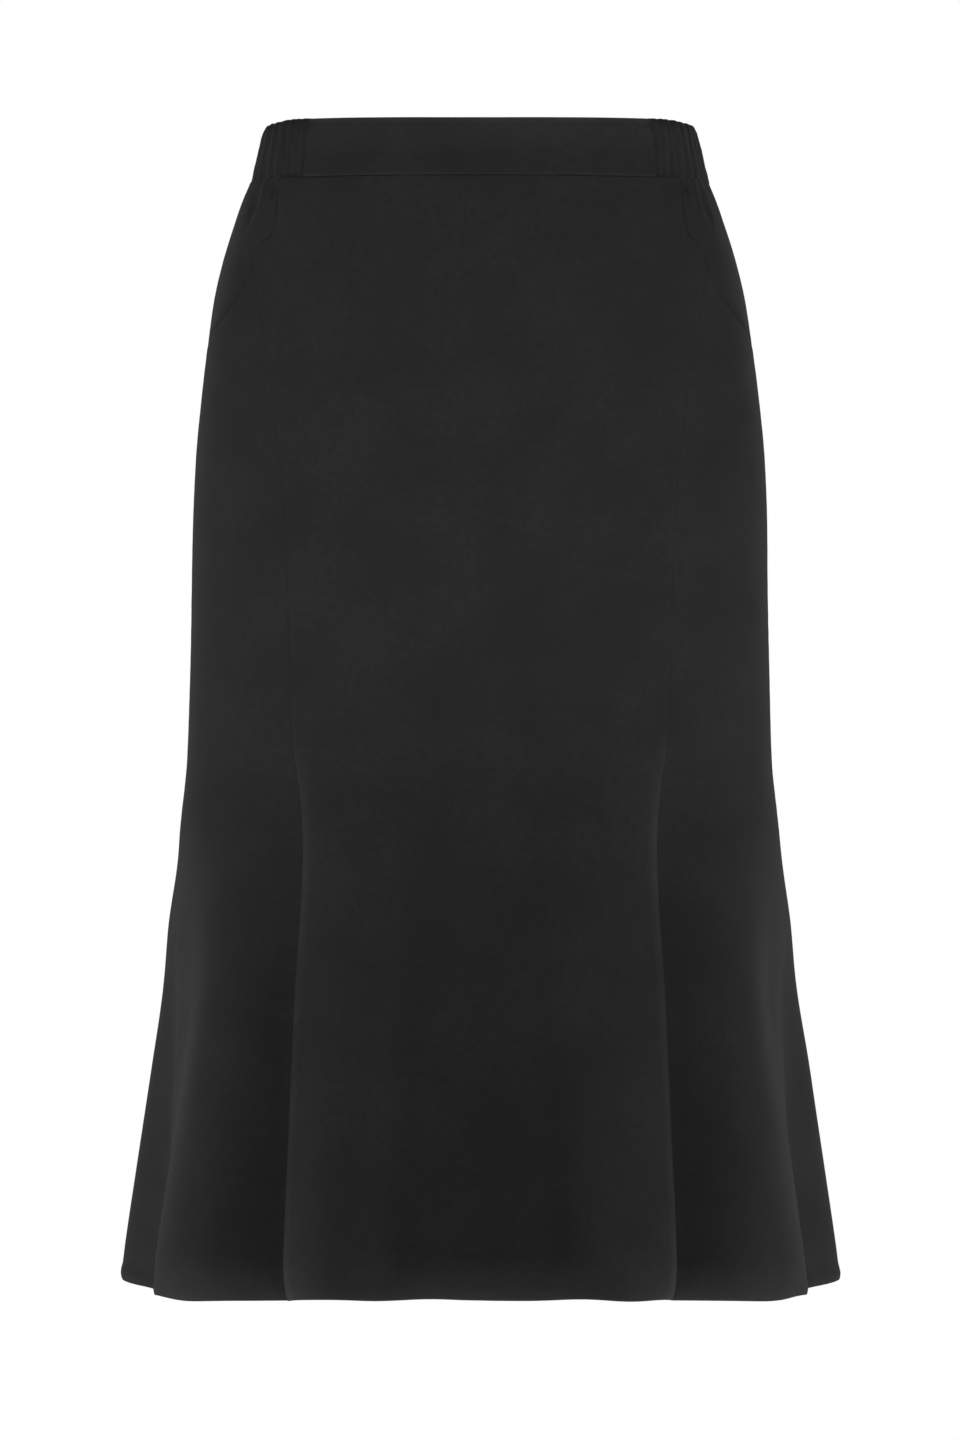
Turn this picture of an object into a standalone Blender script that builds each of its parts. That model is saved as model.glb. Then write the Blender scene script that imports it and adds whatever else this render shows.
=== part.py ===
"""Flared skirt in its worn shape: a hollow trumpet of six gores under a part-elastic waistband.

Metres, +Z up. The wearer would face -Y, so the wearer's left is +X. The origin is the centre of the
waist opening at half the waistband's height.

A place on the cloth is given by its drop (how far it lies below the origin) and its girth angle
(0 at the centre front, 90 at the left side seam, 180 at the centre back, 270 at the right side seam).
"""
import math
from collections import namedtuple
from functools import lru_cache

import bmesh
import bpy
import numpy as np

MM = 0.001

# ---------------------------------------------------------------- driving dimensions, millimetres
CLOTH_WALL = 1.5
SEAM_GAP = 0.3
BAND_HEIGHT = 34.0
BAND_WALL = 2.5
BAND_PROUD = 0.4            # how far the waistband stands out from the cloth below it
BAND_EDGE_ROUND = 1.0       # how far its folded top edge pulls in
BAND_EDGE_DEPTH = 3.0       # height of that rounding
FLAT_FRONT_TOP = 101.5      # half the width of the flat front, at its top and bottom edge
FLAT_FRONT_BOTTOM = 104.5
BAND_GATHERS = 64
BAND_GATHER_DEPTH = 1.6
BAND_GATHER_JITTER = 0.22   # how much gathers differ in width, as a share of their pitch
BAND_GATHER_SEED = 7
BODY_GATHER_DEPTH = 1.3     # soft gathers in the cloth, just under the elastic
BODY_GATHER_LENGTH = 75.0
BODY_GATHER_LEAD_IN = 12.0  # degrees over which they begin, beside the flat front
MOUTH_RECESS = 0.9          # how far the yoke lies behind the pocket mouth
MOUTH_RECESS_END = 0.25     # share of the yoke's width over which it comes level with the side seam
MOUTH_GAP = 0.6
BAND_BOTTOM = BAND_HEIGHT / 2
CLOTH_TOP = BAND_BOTTOM + SEAM_GAP

# The skirt without its flutes: half width, and depth in front of and behind the side seams.
# A ring of power 2 is an ellipse, and more is squarer.
Ring = namedtuple("Ring", "drop half_width front back power")
RINGS = [
    Ring(-17, 128.4, 99.5, 92, 2.75),
    Ring(0, 132.2, 101, 95, 2.7),
    Ring(17, 137.5, 103, 99, 2.65),
    Ring(25, 141.2, 104, 102, 2.6),
    Ring(38, 146.0, 105.5, 106, 2.55),
    Ring(62, 153.7, 108.5, 114, 2.45),
    Ring(86, 159.3, 111, 121, 2.4),
    Ring(110, 162.8, 113, 126, 2.35),
    Ring(146, 167.2, 116, 132, 2.3),
    Ring(182, 170.6, 117.5, 135, 2.25),
    Ring(218, 172.1, 118, 135, 2.25),
    Ring(266, 172.9, 117, 132, 2.25),
    Ring(326, 174.0, 116, 129, 2.25),
    Ring(362, 175.3, 117, 129, 2.25),
    Ring(410, 180.3, 122, 134, 2.25),
    Ring(458, 182.2, 128, 143, 2.25),
    Ring(500, 184.0, 135, 152, 2.25),
    Ring(554, 188.0, 145, 164, 2.25),
    Ring(605, 193.0, 154.5, 175, 2.25),
    Ring(680, 200.5, 169, 191, 2.25),
]

# Flutes of the flare: how far the cloth stands out from its ring (+) or dips in (-) along each line.
Flute = namedtuple("Flute", "drop panel front_seam fold edge side flute back_seam")
FLUTES = [
    Flute(-17, 0, 0, 0, 0, 0, 0, 0),
    Flute(350, 0, 0, 0, 0, 0, 0, 0),
    Flute(375, 0, -1.5, 0, 0, 0, 0, -0.5),
    Flute(410, 0.4, -3.0, 0.5, -1.5, 0, 3.5, -2),
    Flute(458, 1.0, -4.5, 1.5, -3.5, 0.5, 11.2, -4.5),
    Flute(500, 1.4, -5.8, 2.0, -6.0, -4.5, 14.3, -6.5),
    Flute(554, 1.8, -7.2, 2.5, -5.5, -8.5, 18.8, -9),
    Flute(605, 2.1, -8.5, 3.0, -5.0, -11.5, 21.8, -11),
    Flute(680, 2.5, -10.0, 3.5, -5.5, -15, 24.8, -13),
]
PANEL_ANGLE = 21.0          # where the centre gores turn from nearly flat to sloping away
FOLD_ANGLE = 60.0           # crest of the side front flute
EDGE_ANGLE = 78.0           # its turn towards the side seam
SIDE_ANGLE = 90.0
SIDE_VALLEY_ANGLE = 91.0    # the lowest line beside the side seam
FLUTE_ANGLE = 106.0         # crest of the side back flute, the widest part of the hem

# One gather of the elastic casing: its height, from 0 to 1, at shares of its width.
Gather = namedtuple("Gather", "share height")
GATHER_PROFILE = [Gather(0.0, 0.0), Gather(0.25, 0.8), Gather(0.5, 1.0), Gather(0.75, 0.8)]

# Two trains of waves that add up to the soft, uneven gathers of the cloth.
Wave = namedtuple("Wave", "count share phase")
BODY_GATHER_WAVES = [Wave(34, 0.6, 0.0), Wave(43, 0.4, 1.0)]

# Seams, as distances from the centre plane. Down to a drop of 68 the front line is the pocket mouth.
Seam = namedtuple("Seam", "drop front back")
SEAMS = [
    Seam(-17, 112, 73),
    Seam(17, 117.4, 76),
    Seam(51.6, 123.3, 85),
    Seam(54.9, 128.7, 86),
    Seam(61.8, 133.5, 88),
    Seam(67.8, 134.1, 89),
    Seam(104, 128.3, 96),
    Seam(161, 120.2, 102.5),
    Seam(218, 114.9, 105),
    Seam(266, 112.8, 105),
    Seam(326, 110.7, 104),
    Seam(352, 107.5, 103),
    Seam(386, 103.0, 104),
    Seam(434, 103.9, 108),
    Seam(494, 107.2, 115),
    Seam(566, 111.2, 125),
    Seam(626, 114.0, 133),
    Seam(680, 115.4, 140),
]
MOUTH_CORNER_DROP = 67.8    # where the pocket mouth leaves the front seam for the side seam

# Pocket mouth across the side front gore: share of the gore's width, drop.
Mouth = namedtuple("Mouth", "share drop")
MOUTH = [
    Mouth(0.0, MOUTH_CORNER_DROP),
    Mouth(0.145, 82.2),
    Mouth(0.31, 92.0),
    Mouth(0.62, 105.5),
    Mouth(1.0, 118.0),
]

# The hem all round.
Hem = namedtuple("Hem", "angle drop")
HEM = [
    Hem(0, 673), Hem(27, 674.8), Hem(41, 676.2), Hem(60, 677.6), Hem(76, 678.6),
    Hem(92, 680), Hem(99, 679), Hem(105, 676.6), Hem(112, 674.6), Hem(180, 676),
]
HEM_NOMINAL = 680.0
HEM_STARTS = 565.0          # rows below this share out the hem's rise and fall

# Rows of the mesh, as drops, from the waistband to the hem.
YOKE_ROWS = [CLOTH_TOP, 25.0, 38.0, 51.6, 54.9, 61.8, MOUTH_CORNER_DROP]
MOUTH_ROWS = [82.0, 96.0, 110.0, 125.0]
LEG_ROWS = [
    150.0, 185.0, 225.0, 270.0, 315.0, 350.0, 375.0, 400.0, 430.0, 460.0,
    495.0, 530.0, 565.0, 600.0, 640.0, HEM_NOMINAL,
]
FRONT_ROWS = YOKE_ROWS + MOUTH_ROWS + LEG_ROWS
BACK_ROWS = [CLOTH_TOP, 25.0, 38.0, 52.0, 68.0, 88.0, 125.0] + LEG_ROWS

FRONT_COLUMNS = 20
SIDE_FRONT_COLUMNS = 14
SIDE_BACK_COLUMNS = 15
BACK_COLUMNS = 22
FLAT_BAND_COLUMNS = 18

MITRE_REACH = 0.4           # degrees from a seam at which the gores' directions are taken
NORMAL_ANGLE_STEP = 0.02    # steps along the cloth from which its outward direction is taken
NORMAL_DROP_STEP = 0.2
FRONT_REACH = 84.0          # seams are looked for between the centre plane and these angles
BACK_REACH = 96.0
SEAM_HALVINGS = 40
LEAST_ANGLE_STEP = 1.0      # the seam and the fold's crest stay this far apart
GIRTH_SAMPLES = 721

CLOTH_COLOUR = (0.020, 0.020, 0.021, 1.0)
CLOTH_ROUGHNESS = 0.85


# ---------------------------------------------------------------- curves through short tables
def smooth_curve(xs, ys):
    """A cubic through the points that never overshoots them (Fritsch and Carlson's slopes)."""
    xs, ys = np.asarray(xs, float), np.asarray(ys, float)
    steps = np.diff(xs)
    rises = np.diff(ys) / steps
    slopes = np.zeros(len(xs))
    for i in range(1, len(xs) - 1):
        before, after = rises[i - 1], rises[i]
        if before * after > 0:
            near, far = 2 * steps[i] + steps[i - 1], steps[i] + 2 * steps[i - 1]
            slopes[i] = (near + far) / (near / before + far / after)
    slopes[0] = end_slope(steps[0], steps[1], rises[0], rises[1])
    slopes[-1] = end_slope(steps[-1], steps[-2], rises[-1], rises[-2])

    def value(x):
        i = int(np.clip(np.searchsorted(xs, x) - 1, 0, len(steps) - 1))
        t = (x - xs[i]) / steps[i]
        rise = ys[i + 1] - ys[i]
        bend_in = slopes[i] * steps[i] - rise
        bend_out = rise - slopes[i + 1] * steps[i]
        return float(ys[i] + t * rise + t * (1 - t) * (bend_in * (1 - t) + bend_out * t))

    return value


def end_slope(step, next_step, rise, next_rise):
    """The slope at a table's end, from the parabola through its last three points."""
    slope = ((2 * step + next_step) * rise - step * next_rise) / (step + next_step)
    if slope * rise <= 0:
        return 0.0
    if rise * next_rise < 0 and abs(slope) > 3 * abs(rise):
        return 3 * rise
    return slope


def columns_of(table, key):
    """One smooth curve for each named column of a table, over its key column."""
    keys = [getattr(row, key) for row in table]
    return {
        name: smooth_curve(keys, [getattr(row, name) for row in table])
        for name in table[0]._fields
        if name != key
    }


RING_AT = columns_of(RINGS, "drop")
FLUTE_AT = columns_of(FLUTES, "drop")
SEAM_AT = columns_of(SEAMS, "drop")
MOUTH_AT = columns_of(MOUTH, "share")["drop"]
HEM_AT = columns_of(HEM, "angle")["drop"]


def half_angle(angle):
    """The skirt is the same on both sides, so every angle folds onto 0 to 180."""
    angle = angle % 360.0
    return min(angle, 360.0 - angle)


# ---------------------------------------------------------------- the surface of the skirt
class Section:
    """The skirt's outline at one drop: a rounded ring, with the flutes added to its radius."""

    def __init__(self, drop):
        self.half_width = RING_AT["half_width"](drop)
        self.front = RING_AT["front"](drop)
        self.back = RING_AT["back"](drop)
        self.power = RING_AT["power"](drop)
        dips = {name: curve(drop) for name, curve in FLUTE_AT.items()}
        self.front_seam = self.angle_at(SEAM_AT["front"](drop), dips["front_seam"], 0.0, FRONT_REACH)
        self.back_seam = self.angle_at(SEAM_AT["back"](drop), dips["back_seam"], 180.0, BACK_REACH)
        self.front_flutes = smooth_curve(
            [-self.front_seam, -PANEL_ANGLE, 0.0, PANEL_ANGLE, self.front_seam],
            [dips["front_seam"], dips["panel"], 0.0, dips["panel"], dips["front_seam"]],
        )
        fold_angle = max(FOLD_ANGLE, self.front_seam + LEAST_ANGLE_STEP)
        self.side_flutes = smooth_curve(
            [self.front_seam, fold_angle, EDGE_ANGLE, SIDE_VALLEY_ANGLE, FLUTE_ANGLE, self.back_seam],
            [dips[name] for name in ("front_seam", "fold", "edge", "side", "flute", "back_seam")],
        )
        self.back_flutes = smooth_curve(
            [self.back_seam, 180.0 - PANEL_ANGLE, 180.0, 180.0 + PANEL_ANGLE, 360.0 - self.back_seam],
            [dips["back_seam"], dips["panel"], 0.0, dips["panel"], dips["back_seam"]],
        )

    def ring_radius(self, angle):
        across = abs(math.sin(math.radians(angle))) / self.half_width
        along = math.cos(math.radians(angle))
        along = along / self.front if along > 0 else -along / self.back
        return (across ** self.power + along ** self.power) ** (-1.0 / self.power)

    def angle_at(self, distance, dip, inner, outer):
        """The angle between inner (on the centre plane) and outer where the cloth is this far from it."""
        for _ in range(SEAM_HALVINGS):
            middle = (inner + outer) / 2
            reach = (self.ring_radius(middle) + dip) * math.sin(math.radians(middle))
            if reach < distance:
                inner = middle
            else:
                outer = middle
        return (inner + outer) / 2

    def radius(self, angle):
        angle = half_angle(angle)
        if angle <= self.front_seam:
            return self.ring_radius(angle) + self.front_flutes(angle)
        if angle <= self.back_seam:
            return self.ring_radius(angle) + self.side_flutes(angle)
        return self.ring_radius(angle) + self.back_flutes(angle)


@lru_cache(maxsize=None)
def section(drop):
    return Section(drop)


def flat_end_angle(drop):
    """Where the flat front of the waistband ends and the elastic starts."""
    share = 0.5 + drop / BAND_HEIGHT
    half_width = FLAT_FRONT_TOP + (FLAT_FRONT_BOTTOM - FLAT_FRONT_TOP) * share
    return section(drop).angle_at(half_width, 0.0, 0.0, FRONT_REACH)


FLAT_END_ANGLE = flat_end_angle(BAND_BOTTOM)


def body_gathers(drop, angle):
    """Soft, uneven waves where the cloth is sewn to the elastic. They die out over the hips."""
    fade = 1 - (drop - BAND_BOTTOM) / BODY_GATHER_LENGTH
    beside_flat_front = (half_angle(angle) - FLAT_END_ANGLE) / BODY_GATHER_LEAD_IN
    if fade <= 0 or drop < BAND_BOTTOM or beside_flat_front <= 0:
        return 0.0
    turn = math.radians(half_angle(angle))
    height = sum(wave.share * math.cos(wave.count * turn + wave.phase) for wave in BODY_GATHER_WAVES)
    return BODY_GATHER_DEPTH * height * fade ** 2 * min(beside_flat_front, 1.0)


def cloth_point(drop, angle, out=0.0):
    radius = section(drop).radius(angle) + body_gathers(drop, angle) + out
    turn = math.radians(angle)
    return np.array([radius * math.sin(turn), -radius * math.cos(turn), -drop])


def cloth_normal(drop, angle):
    """The outward direction of the cloth, from two short steps along it."""
    turn, fall = NORMAL_ANGLE_STEP, NORMAL_DROP_STEP
    around = cloth_point(drop, angle + turn) - cloth_point(drop, angle - turn)
    down = cloth_point(drop + fall, angle) - cloth_point(drop - fall, angle)
    normal = np.cross(down, around)
    return normal / np.linalg.norm(normal)


def inner_point(outer_point, drop, angle, wall, seam_side=0):
    """The point behind an outer point. At a seam, seam_side, it lies on the mitre of both gores."""
    here = cloth_normal(drop, angle - seam_side * MITRE_REACH)
    if not seam_side:
        return outer_point - here * wall
    there = cloth_normal(drop, angle + seam_side * MITRE_REACH)
    mitre = (here + there) / np.linalg.norm(here + there)
    return outer_point - mitre * wall / float(mitre @ here)


# ---------------------------------------------------------------- making solids
def cloth_material(name):
    material = bpy.data.materials.new(name)
    material.use_nodes = True
    shader = material.node_tree.nodes["Principled BSDF"]
    shader.inputs["Base Color"].default_value = CLOTH_COLOUR
    shader.inputs["Roughness"].default_value = CLOTH_ROUGHNESS
    shader.inputs["Metallic"].default_value = 0.0
    material.diffuse_color = CLOTH_COLOUR
    return material


def wall_object(name, outer, inner):
    """A closed wall from an outer and an inner grid of points, in millimetres, rows by columns."""
    rows, columns = len(outer), len(outer[0])
    mesh = bmesh.new()
    out = [[mesh.verts.new(point * MM) for point in row] for row in outer]
    into = [[mesh.verts.new(point * MM) for point in row] for row in inner]
    for r in range(rows - 1):
        for c in range(columns - 1):
            mesh.faces.new((out[r][c], out[r + 1][c], out[r + 1][c + 1], out[r][c + 1]))
            mesh.faces.new((into[r][c], into[r][c + 1], into[r + 1][c + 1], into[r + 1][c]))
    for r, flip in ((0, False), (rows - 1, True)):
        for c in range(columns - 1):
            rim = (out[r][c], out[r][c + 1], into[r][c + 1], into[r][c])
            mesh.faces.new(rim[::-1] if flip else rim)
    for c, flip in ((0, True), (columns - 1, False)):
        for r in range(rows - 1):
            rim = (out[r][c], out[r + 1][c], into[r + 1][c], into[r][c])
            mesh.faces.new(rim[::-1] if flip else rim)
    bmesh.ops.recalc_face_normals(mesh, faces=mesh.faces)
    data = bpy.data.meshes.new(name)
    mesh.to_mesh(data)
    mesh.free()
    data.shade_smooth()
    data.materials.append(cloth_material(name + "_crepe"))
    thing = bpy.data.objects.new(name, data)
    bpy.context.scene.collection.objects.link(thing)
    return thing


def mirrored(thing, name):
    """The same piece for the wearer's right side."""
    data = thing.data.copy()
    for vertex in data.vertices:
        vertex.co.x = -vertex.co.x
    data.flip_normals()
    data.materials.clear()
    data.materials.append(cloth_material(name + "_crepe"))
    twin = bpy.data.objects.new(name, data)
    bpy.context.scene.collection.objects.link(twin)
    return twin


# ---------------------------------------------------------------- the gores
def row_drop(row, hem):
    """A row's true drop where the hem hangs at this drop."""
    if row <= HEM_STARTS:
        return row
    return HEM_STARTS + (row - HEM_STARTS) * (hem - HEM_STARTS) / (HEM_NOMINAL - HEM_STARTS)


def seam_shift(drop, angle, gap=SEAM_GAP):
    """Half a gap between two pieces, as an angle."""
    return math.degrees(gap / 2 / section(drop).radius(angle))


def gore(name, rows, shares, limits, slope=None, recess=None, first_gap=SEAM_GAP):
    """A gore between two seams.

    limits(drop) gives its first and last angle, and shares its columns between them. slope(share, row)
    gives the drop of rows that don't run level, and recess(share) how far the cloth lies in from the
    skirt's surface. first_gap is the gap at its first seam.
    """
    hem_start, hem_end = limits(HEM_NOMINAL)
    outer, inner = [], []
    for row in rows:
        outer_row, inner_row = [], []
        for share in shares:
            hem = HEM_AT(half_angle(hem_start + (hem_end - hem_start) * share))
            drop = slope(share, row) if slope else row_drop(row, hem)
            start, end = limits(drop)
            seam_side = {shares[0]: -1, shares[-1]: 1}.get(share, 0)
            angle = start + (end - start) * share
            gap = first_gap if seam_side < 0 else SEAM_GAP
            edge = angle - seam_side * seam_shift(drop, angle, gap)
            point = cloth_point(drop, edge, -recess(share) if recess else 0.0)
            outer_row.append(point)
            inner_row.append(inner_point(point, drop, angle, CLOTH_WALL, seam_side))
        outer.append(outer_row)
        inner.append(inner_row)
    return wall_object(name, outer, inner)


def even_shares(columns):
    return [c / columns for c in range(columns + 1)]


def front_limits(drop):
    seam = section(drop).front_seam
    return -seam, seam


def side_front_limits(drop):
    return section(drop).front_seam, SIDE_ANGLE


def side_back_limits(drop):
    return SIDE_ANGLE, section(drop).back_seam


def back_limits(drop):
    seam = section(drop).back_seam
    return seam, 360.0 - seam


def below_mouth(share, row):
    """Rows of the side front gore fan out from the pocket mouth until they run level."""
    level = MOUTH_ROWS[-1]
    if row > level:
        hem = HEM_AT(section(HEM_NOMINAL).front_seam * (1 - share) + SIDE_ANGLE * share)
        return row_drop(row, hem)
    mouth = MOUTH_AT(share) + SEAM_GAP / 2
    corner = MOUTH_CORNER_DROP
    return mouth + (level - mouth) * (row - corner) / (level - corner)


def above_mouth(share, row):
    """Rows of the yoke fan out from the waistband to the pocket mouth."""
    mouth = MOUTH_AT(share) - SEAM_GAP / 2
    return CLOTH_TOP + (mouth - CLOTH_TOP) * (row - CLOTH_TOP) / (MOUTH_CORNER_DROP - CLOTH_TOP)


def mouth_recess(share):
    """The yoke lies behind the pocket mouth, and comes level with the gores at the side seam."""
    return MOUTH_RECESS * min(1.0, (1 - share) / MOUTH_RECESS_END)


# ---------------------------------------------------------------- the waistband
def band_wall(name, start, end, columns):
    """A stretch of waistband between two ends, which are angles at a given drop.

    columns lists each column's share of the way, and how far it stands out as part of a gather.
    """
    top, bottom = -BAND_HEIGHT / 2, BAND_HEIGHT / 2
    outer, inner = [], []
    for drop, inset in ((top, BAND_EDGE_ROUND), (top + BAND_EDGE_DEPTH, 0.0), (bottom, 0.0)):
        first, last = start(drop), end(drop)
        outer_row, inner_row = [], []
        for share, swell in columns:
            angle = first + (last - first) * share
            face = section(drop).radius(angle) + BAND_PROUD
            turn = math.radians(angle)
            direction = np.array([math.sin(turn), -math.cos(turn), 0.0])
            height = np.array([0.0, 0.0, -drop])
            outer_row.append(direction * (face + swell - inset) + height)
            inner_row.append(direction * (face - BAND_WALL) + height)
        outer.append(outer_row)
        inner.append(inner_row)
    return wall_object(name, outer, inner)


def flat_band():
    def end(drop):
        angle = flat_end_angle(drop)
        return angle - seam_shift(drop, angle)

    columns = [(share, 0.0) for share in even_shares(FLAT_BAND_COLUMNS)]
    return band_wall("waistband_front", lambda drop: -end(drop), end, columns)


def gather_edges(start, end):
    """Where each gather begins, as shares of the way: even along the band but for a little jitter."""
    shares = np.linspace(0.0, 1.0, GIRTH_SAMPLES)
    points = np.array([cloth_point(0.0, start + (end - start) * share)[:2] for share in shares])
    lengths = np.concatenate([[0.0], np.cumsum(np.linalg.norm(np.diff(points, axis=0), axis=1))])
    random = np.random.default_rng(BAND_GATHER_SEED)
    pitch = lengths[-1] / BAND_GATHERS
    places = np.arange(BAND_GATHERS + 1) * pitch
    places[1:-1] += random.uniform(-1, 1, BAND_GATHERS - 1) * pitch * BAND_GATHER_JITTER
    return np.interp(places, lengths, shares)


def elastic_band():
    """The casing gathered onto elastic, round both sides and the back."""

    def start(drop):
        angle = flat_end_angle(drop)
        return angle + seam_shift(drop, angle)

    def end(drop):
        return 360.0 - start(drop)

    edges = gather_edges(start(0.0), end(0.0))
    columns = []
    for near, far in zip(edges[:-1], edges[1:]):
        for gather in GATHER_PROFILE:
            swell = BAND_GATHER_DEPTH * (gather.height - 0.5)
            columns.append((near + (far - near) * gather.share, swell))
    columns.append((edges[-1], -0.5 * BAND_GATHER_DEPTH))
    return band_wall("waistband_elastic", start, end, columns)


def build():
    flat_band()
    elastic_band()
    gore("front_centre", FRONT_ROWS, even_shares(FRONT_COLUMNS), front_limits)
    side_front_rows = [MOUTH_CORNER_DROP] + MOUTH_ROWS + LEG_ROWS
    shares = even_shares(SIDE_FRONT_COLUMNS)
    side_front = gore("front_side_left", side_front_rows, shares, side_front_limits, below_mouth)
    yoke = gore("pocket_yoke_left", YOKE_ROWS, shares, side_front_limits, above_mouth, mouth_recess,
                MOUTH_GAP)
    side_back = gore("back_side_left", BACK_ROWS, even_shares(SIDE_BACK_COLUMNS), side_back_limits)
    gore("back_centre", BACK_ROWS, even_shares(BACK_COLUMNS), back_limits)
    mirrored(side_front, "front_side_right")
    mirrored(yoke, "pocket_yoke_right")
    mirrored(side_back, "back_side_right")


for old in list(bpy.data.objects):
    bpy.data.objects.remove(old, do_unlink=True)
build()
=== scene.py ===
# %% [markdown]
# # A flared skirt, dressed for its picture
# The CAD frame gives this skirt its size and its solid walls. This lesson gives it its cloth. The real
# skirt is black crepe: a centre front gore, two side fronts, two side backs and a centre back, two hip
# yokes that show behind slanted pocket mouths, and a waistband that is flat in front and gathered onto
# elastic everywhere else. Every piece is made again as thin cloth on its solid's form.
# %% The tools and the frame
import math
from collections import namedtuple

import bpy
import numpy as np
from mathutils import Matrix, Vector


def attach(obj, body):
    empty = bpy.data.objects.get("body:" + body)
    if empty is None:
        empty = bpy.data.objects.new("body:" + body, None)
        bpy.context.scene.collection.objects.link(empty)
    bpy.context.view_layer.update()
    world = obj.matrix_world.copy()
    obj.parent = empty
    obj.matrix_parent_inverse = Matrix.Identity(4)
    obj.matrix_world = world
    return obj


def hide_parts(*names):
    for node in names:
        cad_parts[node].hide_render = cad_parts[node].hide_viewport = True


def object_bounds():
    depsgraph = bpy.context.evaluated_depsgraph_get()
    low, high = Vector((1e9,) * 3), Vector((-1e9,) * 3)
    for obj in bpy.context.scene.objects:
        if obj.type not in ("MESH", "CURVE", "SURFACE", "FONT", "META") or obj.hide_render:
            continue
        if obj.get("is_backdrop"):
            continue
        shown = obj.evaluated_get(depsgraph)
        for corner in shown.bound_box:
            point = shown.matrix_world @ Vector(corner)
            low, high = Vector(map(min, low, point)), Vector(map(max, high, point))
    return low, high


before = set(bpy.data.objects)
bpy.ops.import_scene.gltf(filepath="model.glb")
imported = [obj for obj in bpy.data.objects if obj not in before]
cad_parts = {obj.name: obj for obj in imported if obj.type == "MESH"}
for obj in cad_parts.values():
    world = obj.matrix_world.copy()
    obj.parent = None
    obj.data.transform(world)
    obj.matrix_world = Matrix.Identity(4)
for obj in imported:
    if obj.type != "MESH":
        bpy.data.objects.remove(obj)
cad_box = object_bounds()
MM = 0.001
print("CAD nodes:", sorted(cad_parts))
print("CAD box in mm:", [[round(value / MM, 1) for value in corner] for corner in cad_box])

# %% [markdown]
# ## The camera
# A picture like this one is taken from far away with a long lens, so that both edges of the skirt are
# seen square on. The camera stands 5 m in front, level, and its lens is worked out from how much of the
# skirt's plane has to fill the height of the picture.
# %% The camera
CAMERA_AWAY, PICTURE_HEIGHT, SENSOR = 5.0, 0.864, 36.0      # metres, metres and millimetres
PICTURE_MIDDLE = (0.0001, 0.0, -0.3378)


def link(thing):
    bpy.context.scene.collection.objects.link(thing)
    return thing


def aim(thing, target):
    thing.rotation_euler = (Vector(target) - thing.location).to_track_quat("-Z", "Y").to_euler()


camera_data = bpy.data.cameras.new("camera")
camera_data.sensor_width = SENSOR
camera_data.lens = SENSOR * CAMERA_AWAY / PICTURE_HEIGHT
camera_data.dof.use_dof = False
camera = link(bpy.data.objects.new("camera", camera_data))
camera.location = (PICTURE_MIDDLE[0], -CAMERA_AWAY, PICTURE_MIDDLE[2])
aim(camera, PICTURE_MIDDLE)
bpy.context.scene.camera = camera
print(f"lens {camera_data.lens:.1f} mm")

# %% [markdown]
# ## The form in short tables
# A point on the cloth is named by its drop, which is how far it lies below the middle of the waistband,
# and by its girth angle: 0 at the centre front, 90 at the left side seam, 180 at the centre back. A
# skirt could be sculpted by eye, but a table of rings and another of flutes keeps it true to the CAD
# walls and lets every piece be made at any fineness. All of these numbers are millimetres or degrees.
# %% Rings: half width, and depth in front and behind
def rows_of(kind, *rows):
    """Plain rows of values, made into rows whose columns have names."""
    return [kind(*row) for row in rows]


Ring = namedtuple("Ring", "drop half_width front back power")
RINGS = rows_of(
    Ring, (-17, 128.4, 99.5, 92, 2.75), (0, 132.2, 101, 95, 2.7), (17, 137.5, 103, 99, 2.65),
    (25, 141.2, 104, 102, 2.6), (38, 146.0, 105.5, 106, 2.55), (62, 153.7, 108.5, 114, 2.45),
    (86, 159.3, 111, 121, 2.4), (110, 162.8, 113, 126, 2.35), (146, 167.2, 116, 132, 2.3),
    (182, 170.6, 117.5, 135, 2.25), (218, 172.1, 118, 135, 2.25), (266, 172.9, 117, 132, 2.25),
    (326, 174.0, 116, 129, 2.25), (362, 175.3, 117, 129, 2.25), (410, 180.3, 122, 134, 2.25),
    (458, 182.2, 128, 143, 2.25), (500, 184.0, 135, 152, 2.25), (554, 188.0, 145, 164, 2.25),
    (605, 193.0, 154.5, 175, 2.25), (680, 200.5, 169, 191, 2.25))
BAND_HALF = 17.0        # half the waistband's height

# %% Flutes: how far the flare stands out from its ring (+) or dips in (-) along each line
Flute = namedtuple("Flute", "drop panel front_seam fold edge side flute back_seam")
FLUTES = rows_of(
    Flute, (-17, 0, 0, 0, 0, 0, 0, 0), (350, 0, 0, 0, 0, 0, 0, 0), (375, 0, -1.5, 0, 0, 0, 0, -0.5),
    (410, 0.4, -3.0, 0.5, -1.5, 0, 3.5, -2), (458, 1.0, -4.5, 1.5, -3.5, 0.5, 11.2, -4.5),
    (500, 1.4, -5.8, 2.0, -6.0, -4.5, 14.3, -6.5), (554, 1.8, -7.2, 2.5, -5.5, -8.5, 18.8, -9),
    (605, 2.1, -8.5, 3.0, -5.0, -11.5, 21.8, -11), (680, 2.5, -10.0, 3.5, -5.5, -15, 24.8, -13))
PANEL_ANGLE, FOLD_ANGLE, EDGE_ANGLE = 21.0, 60.0, 78.0
SIDE_ANGLE, SIDE_VALLEY_ANGLE, FLUTE_ANGLE = 90.0, 91.0, 106.0

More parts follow.
